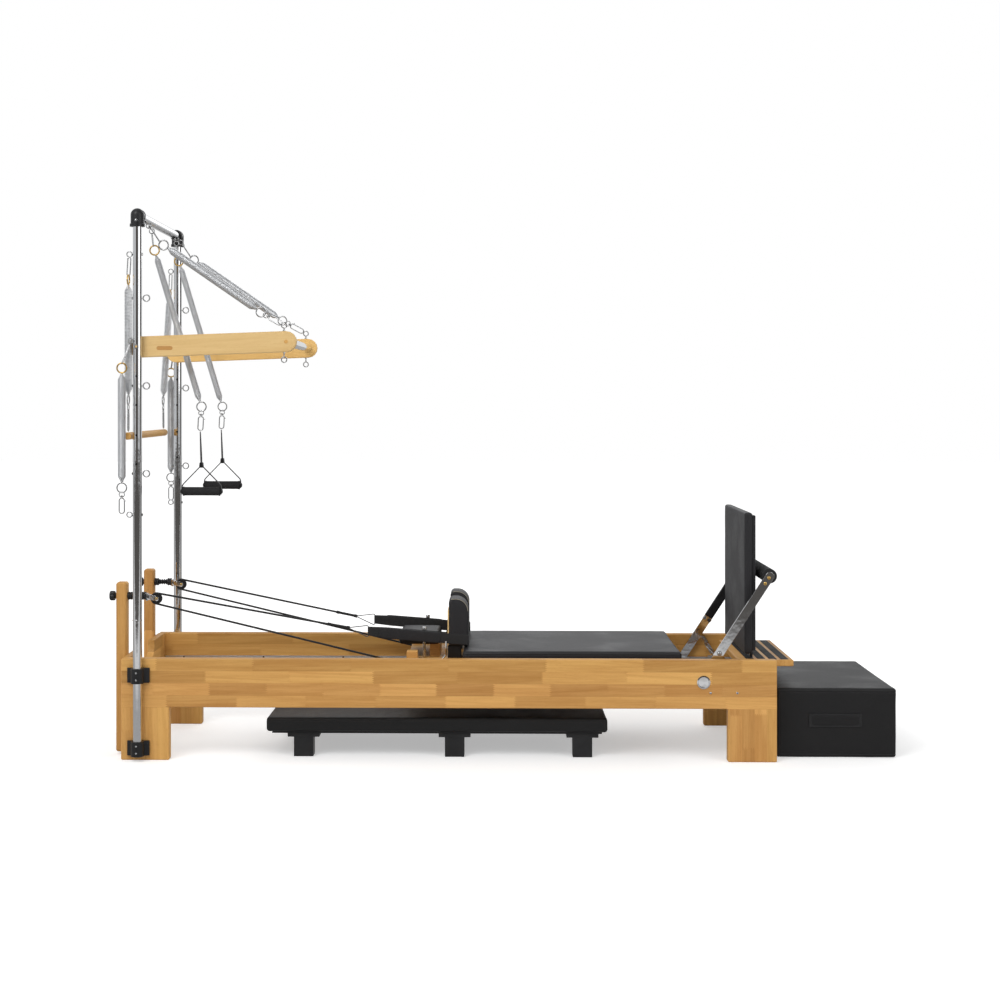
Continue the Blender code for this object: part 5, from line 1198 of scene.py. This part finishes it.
def post_eyes(side):
    """A post's eyes: three large ones towards the foot end, two small ones behind it and the leg
    spring's at 45 degrees."""
    y = side * POST_Y
    eyes = []
    for z in (1.690, 1.370, 1.050):
        eyes += eyebolt((POST_X + POST_RADIUS + 0.0165, y, z), (-1, 0, 0))
        eyes.append(hex_nut((POST_X - POST_RADIUS - 0.0035, y, z), (1, 0, 0), NUT, NUT_HEIGHT))
    for z in (1.850, 0.900):
        centre = (POST_X - POST_RADIUS - EYE_OUT, y, z)
        eyes += eyebolt(centre, (1, 0, 0), SMALL_EYE, SMALL_EYE_WIRE, reach=0.008)
        eyes.append(hex_nut((POST_X + POST_RADIUS - 0.0005, y, z), (1, 0, 0), NUT, NUT_HEIGHT))
    leg_eye = np.array((POST_X - LEG_EYE_OUT, y + side * LEG_EYE_OUT, 1.534))
    eyes += eyebolt(leg_eye, (1, -side, 0), SMALL_EYE, SMALL_EYE_WIRE, (1, side, 0), 0.008)
    return eyes


def clamps(name, side):
    """A post's two clamps, each with two screws on either side of the post and two grub screws."""
    for level, z in (("lower", 0.046), ("upper", 0.312)):
        clamp = f"tower_clamp_{name}_{level}"
        worked_copy(clamp, BLACK, "frame", 0.0012)
        outer = side * (HALF_WIDTH + 0.0099)
        screws = [button_screw((POST_X + way * 0.0335, outer, z + dz), (0, side, 0), 0.0046)
                  for way in (-1, 1) for dz in (-0.015, 0.015)]
        made(f"{clamp}_screws", BLACK, screws, "frame")
        grubs = [button_screw((POST_X, side * (POST_Y + 0.0243), z + dz), (0, side, 0), 0.0034)
                 for dz in (-0.013, 0.013)]
        made(f"{clamp}_grub_screws", ZINC, grubs, "frame")


def drill(post, name, side):
    """Four dark holes in a post's near face, cut with plugs whose black is left on their walls as painted
    shade for the depth of each hole.
    """
    y = side * POST_Y
    outside, inside = y - POST_RADIUS - 0.002, y - POST_RADIUS + 0.006
    plugs = [rod((POST_X, outside, z), (POST_X, inside, z), 0.0040, 24, 0.0001)
             for z in (1.405, 1.300, 1.190, 1.085)]
    cutter = made(f"drill_{name}", BLACK, plugs)
    post.data.materials.append(BLACK)
    step = post.modifiers.new("holes", "BOOLEAN")
    step.object, step.solver, step.operation, step.material_mode = cutter, "EXACT", "DIFFERENCE", "TRANSFER"
    graph = bpy.context.evaluated_depsgraph_get()
    drilled = bpy.data.meshes.new_from_object(post.evaluated_get(graph), depsgraph=graph)
    post.modifiers.clear()
    post.data = drilled
    post.data.set_sharp_from_angle(angle=math.radians(40))
    bpy.data.objects.remove(cutter, do_unlink=True)


def elbow(name, side):
    """A moulded elbow: a collar with a rim, a ball at the bend and an arm towards the crossbar."""
    y = side * POST_Y
    collar = [(0.0268, 0), (0.0275, 0.0008), (0.0275, 0.0092), (0.0262, 0.0104), (0.0245, 0.0115),
              (0.0245, 0.0425)]
    rise = np.linspace(-np.pi / 2, np.pi / 2, 17)
    ball = np.stack([0.0246 * np.cos(rise), 0.0246 * np.sin(rise)], axis=1)[1:-1]
    arm = [(0.0235, 0), (0.0240, 0.0008), (0.0240, 0.0055), (0.0225, 0.0070), (0.0225, 0.034)]
    skins = [
        turned(collar, (POST_X, y, 1.9507), (0, 0, 1), 64),
        turned(ball, (POST_X, y, TOWER_BAR_Z), (0, 0, 1), 64),
        turned(arm, (POST_X, y - side * 0.0340, TOWER_BAR_Z), (0, side, 0), 64),
    ]
    made(f"elbow_{name}", BLACK, skins, "frame", stands_for=[f"tower_elbow_{name}"])
    screws = [button_screw((POST_X, y - 0.0243, 1.972), (0, -1, 0), 0.0045),
              button_screw((POST_X, y - side * 0.022, TOWER_BAR_Z + 0.0222), (0, 0, 1), 0.0042)]
    made(f"elbow_screws_{name}", ZINC, screws, "frame")


# The push-through bar

def push_bar():
    """Two wooden arms with their eyebolts, plugs and pivot nuts, a dark wooden patch of painted shadow beside
    the post on the near arm, and the dowel.
    """
    dowel_x, dowel_z = DOWEL
    for name, side in SIDES.items():
        # The far arm takes the darker wood, which is painted shade
        finished(f"push_arm_{name}", {"near": ARM_WOOD, "far": FAR_ARM_PAINTED_SHADE_WOOD}[name], 0.0022)
        y = side * ARM_Y
        bolts = [ring((EYE_X, y, z), (0, 1, 0), 0.0098, 0.0022, 32, 12) for z in (EYE_BOTTOM_Z, EYE_TOP_Z)]
        bolts.append(rod((EYE_X, y, EYE_BOTTOM_Z + 0.0095), (EYE_X, y, EYE_TOP_Z - 0.0095), 0.0024, 20))
        washer = 0.0014
        for z, way in ((1.4955, -1), (1.5695, 1)):
            bolts.append(turned(rod_profile(0.0075, washer, 0.0003), (EYE_X, y, z), (0, 0, way), 28))
            bolts.append(hex_nut((EYE_X, y, z + way * washer), (0, 0, way), NUT, 0.0038))
        made(f"push_arm_bolts_{name}", ZINC, bolts, "push_bar", stands_for=[f"push_eyebolt_{name}"])
        out = side * (ARM_Y + ARM_THICK / 2)
        disc = [(0.0070, 0), (0.0070, 0.0007), (0.0062, 0.0011)]
        plug = [turned(disc, (dowel_x, out, dowel_z), (0, side, 0), 32)]
        made(f"push_arm_plug_{name}", BAR_WOOD, plug, "push_bar")
        if name == "near":
            # A dark wooden patch on the near arm beside the post: painted shadow cast by the post and its nut
            mark = capsule((0.1385, 1.5085), (0.1835, 1.5085), 0.0072)
            made("push_arm_painted_shadow_near", POST_SHADOW_WOOD, [slab(mark, out - 0.0005, out + 0.0005, 0.0003, rings=3)],
                 "push_bar")
        cap = side * (POST_Y + POST_RADIUS)
        washer_place = (POST_X, cap - side * 0.0008, ARM_PIVOT_Z)
        bolt = [turned(rod_profile(0.0085, 0.0015, 0.0003), washer_place, (0, side, 0), 32),
                hex_nut((POST_X, cap + side * 0.0006, ARM_PIVOT_Z), (0, side, 0), 0.0070, 0.0050)]
        made(f"push_arm_pivot_nut_{name}", ZINC, bolt, "push_bar")
    reach = ARM_Y - ARM_THICK / 2 - 0.0003
    dowel = rod((dowel_x, -reach, dowel_z), (dowel_x, reach, dowel_z), 0.0165, 64)
    made("push_dowel", CHROME, [dowel], "push_bar", stands_for=["push_bar_dowel"])


# Springs, hand straps and the roll-down bar

def tower_spring(name, body, hook, top, bottom, end, radius, wire, facing=(0, 1, 0), pitch=None,
                 look=BRASS):
    """A tower spring: a link from its eye, a ring, the coil, a ring and a snap below.

    The coil runs from top to bottom, the link starts at hook and the snap ends at end.
    """
    hook, top, bottom, end = (np.asarray(p, float) for p in (hook, top, bottom, end))
    along = unit(bottom - top)
    across = unit(np.cross(along, facing))
    coils = made(f"{name}_coil", STEEL, [coil(top, bottom, radius, wire, pitch=pitch)], body, crease=180,
                 stands_for=[name])
    upper, lower = top - along * (RING + 0.0045), bottom + along * (RING + 0.0045)
    stem_top = [ring(upper, facing, RING, 0.0028), rod(upper + along * RING, top + along * 0.012, 0.0026, 16)]
    rings = made(f"{name}_top_ring", look, stem_top, body)
    low_reach = lower + unit(end - lower) * (RING - 0.003)
    steel = [ring(lower, facing, RING, 0.0024), rod(bottom - along * 0.012, lower - along * RING, 0.0026, 16)]
    steel += snap_hook(low_reach, end, facing)
    steel.append(link_loop(hook, upper - along * (RING - 0.004), 0.0055, 0.0022, across))
    snaps = made(f"{name}_snap", ZINC, steel, body)
    return coils, rings, snaps


def push_spring(name, side):
    """A spring of the push-through bar, from the crossbar's eye to the arm's eyebolt."""
    y = side * PUSH_SPRING_Y
    from_eye = 0.0105
    eye = np.array((EYE_X, side * ARM_Y, EYE_TOP_Z))
    hook = np.array((PUSH_HOOK[0], y, PUSH_HOOK[1]))
    top, bottom = np.array((0.165, y, 1.878)), np.array((0.489, y, 1.655))
    hook = hook + unit(top - hook) * from_eye
    end = eye + unit(bottom - eye) * from_eye
    for piece in tower_spring(f"push_spring_{name}", None, hook, top, bottom, end, 0.0145, 0.0013,
                              look=ZINC):
        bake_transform(piece)


def springs():
    """Two springs for the push-through bar, two with hand straps, two for the legs, and two for the
    roll-down bar with that bar."""
    for name, side in SIDES.items():
        push_spring(name, side)
        spring = f"arm_spring_{name}"
        y = side * ARM_SPRING_Y
        tower_spring(spring, spring, (ARM_HOOK[0], y, 1.9405), (0.105, y, 1.857), (0.268, y, 1.315),
                     (0.270, y, 1.203), 0.012, 0.0011)
        hand_strap(name, y)
        spring = f"leg_spring_{name}"
        x = {"near": 0.018, "far": 0.030}[name]
        y = side * 0.411
        hook = (POST_X - LEG_EYE_OUT, side * (POST_Y + LEG_EYE_OUT), 1.5245)
        tower_spring(spring, spring, hook, (x, y, 1.412), (x, y, 1.022), (x, y, 0.905), 0.0145, 0.0013)
        x = ROLL_BAR_X[name]
        y = side * POST_Y
        hook = (POST_X - POST_RADIUS - EYE_OUT, y, 1.8405)
        tower_spring(f"roll_spring_{name}", "roll_down", hook, (0.033, y, 1.735), (x, y, 1.340),
                     (x, y, 1.203), 0.0145, 0.0018, (1, 0, 0), 0.0052)
    near_end, far_end = (ROLL_BAR_X["near"], -0.3920, 1.187), (ROLL_BAR_X["far"], 0.3920, 1.187)
    roll_bar = rod(near_end, far_end, 0.0135, 64, 0.003)
    made("roll_down_rod", BAR_WOOD, [roll_bar], "roll_down", stands_for=["roll_down_bar"])


def hand_strap(name, y):
    """A strap that parts from a clip to the two ends of a foam grip with end flanges."""
    body = f"handle_{name}"
    grip_start, grip_x, grip_z = 0.205, 0.275, 0.978
    grip = [(0.0120, 0), (0.0172, 0.0008), (0.0176, 0.0030), (0.0172, 0.0052), (0.0160, 0.0062),
            (0.0158, 0.070), (0.0160, 0.1338), (0.0172, 0.1348), (0.0176, 0.1370), (0.0172, 0.1392),
            (0.0120, 0.140)]
    made(f"hand_grip_{name}", FOAM, [turned(grip, (grip_start, y, grip_z), (1, 0, 0), 48)], body,
         stands_for=[f"handle_grip_{name}"])
    tapes = []
    for way in (-1, 1):
        x = grip_x + way * 0.0733
        apart = way * 0.0012
        corners = [(0.270 + apart, y, 1.2008), (0.2745 + apart, y, 1.074), (x, y, 1.000), (x, y, 0.966)]
        line = eased(corners, 0.014, 0.003)
        gather = np.interp(line[:, 2], (1.120, 1.195), (1.0, 0.42))
        tapes.append(carried(band(0.0030, 0.0150), line, (0, 1, 0), gather))
    made(f"hand_strap_{name}", TAPE, tapes, body, stands_for=[f"handle_strap_{name}"])
    corners = [(0.2665, 1.066), (0.2825, 1.066), (0.2805, 1.086), (0.2685, 1.086)]
    clip = slab(rounded_outline(corners, [0.003] * 4, 5), y - 0.0095, y + 0.0095, 0.001)
    cap = [(0.0060, 0), (0.0080, 0.0006), (0.0080, 0.0030), (0.0060, 0.0042)]
    caps = [turned(cap, (grip_x + way * 0.0746, y, grip_z), (way, 0, 0), 24) for way in (-1, 1)]
    made(f"hand_strap_clip_{name}", BLACK, [clip, *caps], body)


# Floor, light and camera

def studio():
    """A white floor under a white surround. Metal sees both with dark bands in them."""
    bpy.ops.mesh.primitive_plane_add(size=60)
    floor = bpy.context.object
    floor.name = "floor"
    look, tree, shader, coords = blank("studio_floor", 0.9)
    tone = noise(tree, coords["Object"], 3.0)
    wire_up(tree, shader, Base_Color=mixed(tree, tone, (0.80, 0.80, 0.80, 1), (0.82, 0.82, 0.82, 1)))
    light_path = tree.nodes.new("ShaderNodeLightPath").outputs
    away = put(tree, "ShaderNodeVectorMath", {0: coords["Object"]}, operation="LENGTH").outputs["Value"]
    lift = calc(tree, "MULTIPLY", light_path["Is Camera Ray"], ramp(tree, away, 1.0, 4.5, 0.40, 0.64))
    glow = put(tree, "ShaderNodeEmission", {"Color": (1, 1, 1, 1), "Strength": lift})
    both = put(tree, "ShaderNodeAddShader", {0: shader.outputs[0], 1: glow.outputs[0]})
    place = put(tree, "ShaderNodeSeparateXYZ", {0: coords["Object"]}).outputs
    ahead = calc(tree, "MULTIPLY", place[1], -1.0)
    near_dark = ramp(tree, ahead, 1.2, 2.2, 0.45, 0.0)
    far_dark = ramp(tree, ahead, 2.6, 4.0, 0.0, 0.92)
    shade = calc(tree, "MAXIMUM", near_dark, far_dark)
    mirrored = put(tree, "ShaderNodeEmission", {
        "Color": mixed(tree, shade, (0.72, 0.72, 0.72, 1), (0.045, 0.038, 0.032, 1)), "Strength": 1.0})
    seen = put(tree, "ShaderNodeMixShader", {0: light_path["Is Glossy Ray"], 1: both.outputs[0],
                                             2: mirrored.outputs[0]})
    tree.links.new(seen.outputs[0], tree.nodes["Material Output"].inputs["Surface"])
    floor.data.materials.append(look)

    world = bpy.data.worlds.new("studio")
    bpy.context.scene.world = world
    world.use_nodes = True
    tree = world.node_tree
    direction = put(tree, "ShaderNodeSeparateXYZ",
                    {0: tree.nodes.new("ShaderNodeTexCoord").outputs["Generated"]}).outputs
    turn = calc(tree, "ARCTAN2", direction[0], calc(tree, "MULTIPLY", direction[1], -1.0))
    front = ramp(tree, calc(tree, "ABSOLUTE", turn), 0.25, 0.60, 1.0, 0.0)
    right = ramp(tree, calc(tree, "ABSOLUTE", calc(tree, "SUBTRACT", turn, 1.75)), 0.25, 0.60, 1.0, 0.0)
    dark = calc(tree, "MAXIMUM", front, calc(tree, "MULTIPLY", right, 0.85))
    behind = ramp(tree, direction[1], 0.0, 0.9)
    surround = mixed(tree, behind, (0.60, 0.61, 0.62, 1), (0.78, 0.79, 0.80, 1))
    glossy_tone = mixed(tree, dark, surround, (0.055, 0.043, 0.034, 1))
    light_path = tree.nodes.new("ShaderNodeLightPath").outputs
    tone = mixed(tree, light_path["Is Glossy Ray"], (0.56, 0.56, 0.56, 1), glossy_tone)
    clear = calc(tree, "MAXIMUM", light_path["Is Camera Ray"], light_path["Is Transmission Ray"])
    tone = mixed(tree, clear, tone, (1, 1, 1, 1))
    tree.links.new(tone, tree.nodes["Background"].inputs["Color"])

    lamp("key", (-2.6, -4.2, 4.6), 3.0, 150)
    lamp("fill", (3.6, -3.2, 2.8), 3.0, 52)
    lamp("back", (0.5, 3.8, 3.6), 3.2, 40)
    bpy.context.scene.view_settings.view_transform = "Standard"


def lamp(name, place, size, power):
    """A square soft light that looks at the middle of the object."""
    data = bpy.data.lights.new(name, "AREA")
    data.size, data.energy = size, power
    light = bpy.data.objects.new(name, data)
    light.location = place
    light.rotation_euler = (Vector((0, 0, 0.7)) - Vector(place)).to_track_quat("-Z", "Y").to_euler()
    bpy.context.scene.collection.objects.link(light)


def camera():
    """The photograph's view: level, turned by 1 degree, with the lens shifted so uprights stay upright."""
    data = bpy.data.cameras.new("camera")
    data.lens, data.sensor_width = 57.24, 36
    data.shift_x, data.shift_y = 0.035, -0.095
    data.dof.use_dof = False
    view = bpy.data.objects.new("camera", data)
    view.location = (-0.0285, -6.15, 1.300)
    view.rotation_euler = (math.radians(90), 0, math.radians(1.0))
    bpy.context.scene.collection.objects.link(view)
    bpy.context.scene.camera = view


camera()
wooden_frame()
pulleys()
ropes()
foot_loops()
carriage()
foot_end()
tower()
push_bar()
springs()
studio()
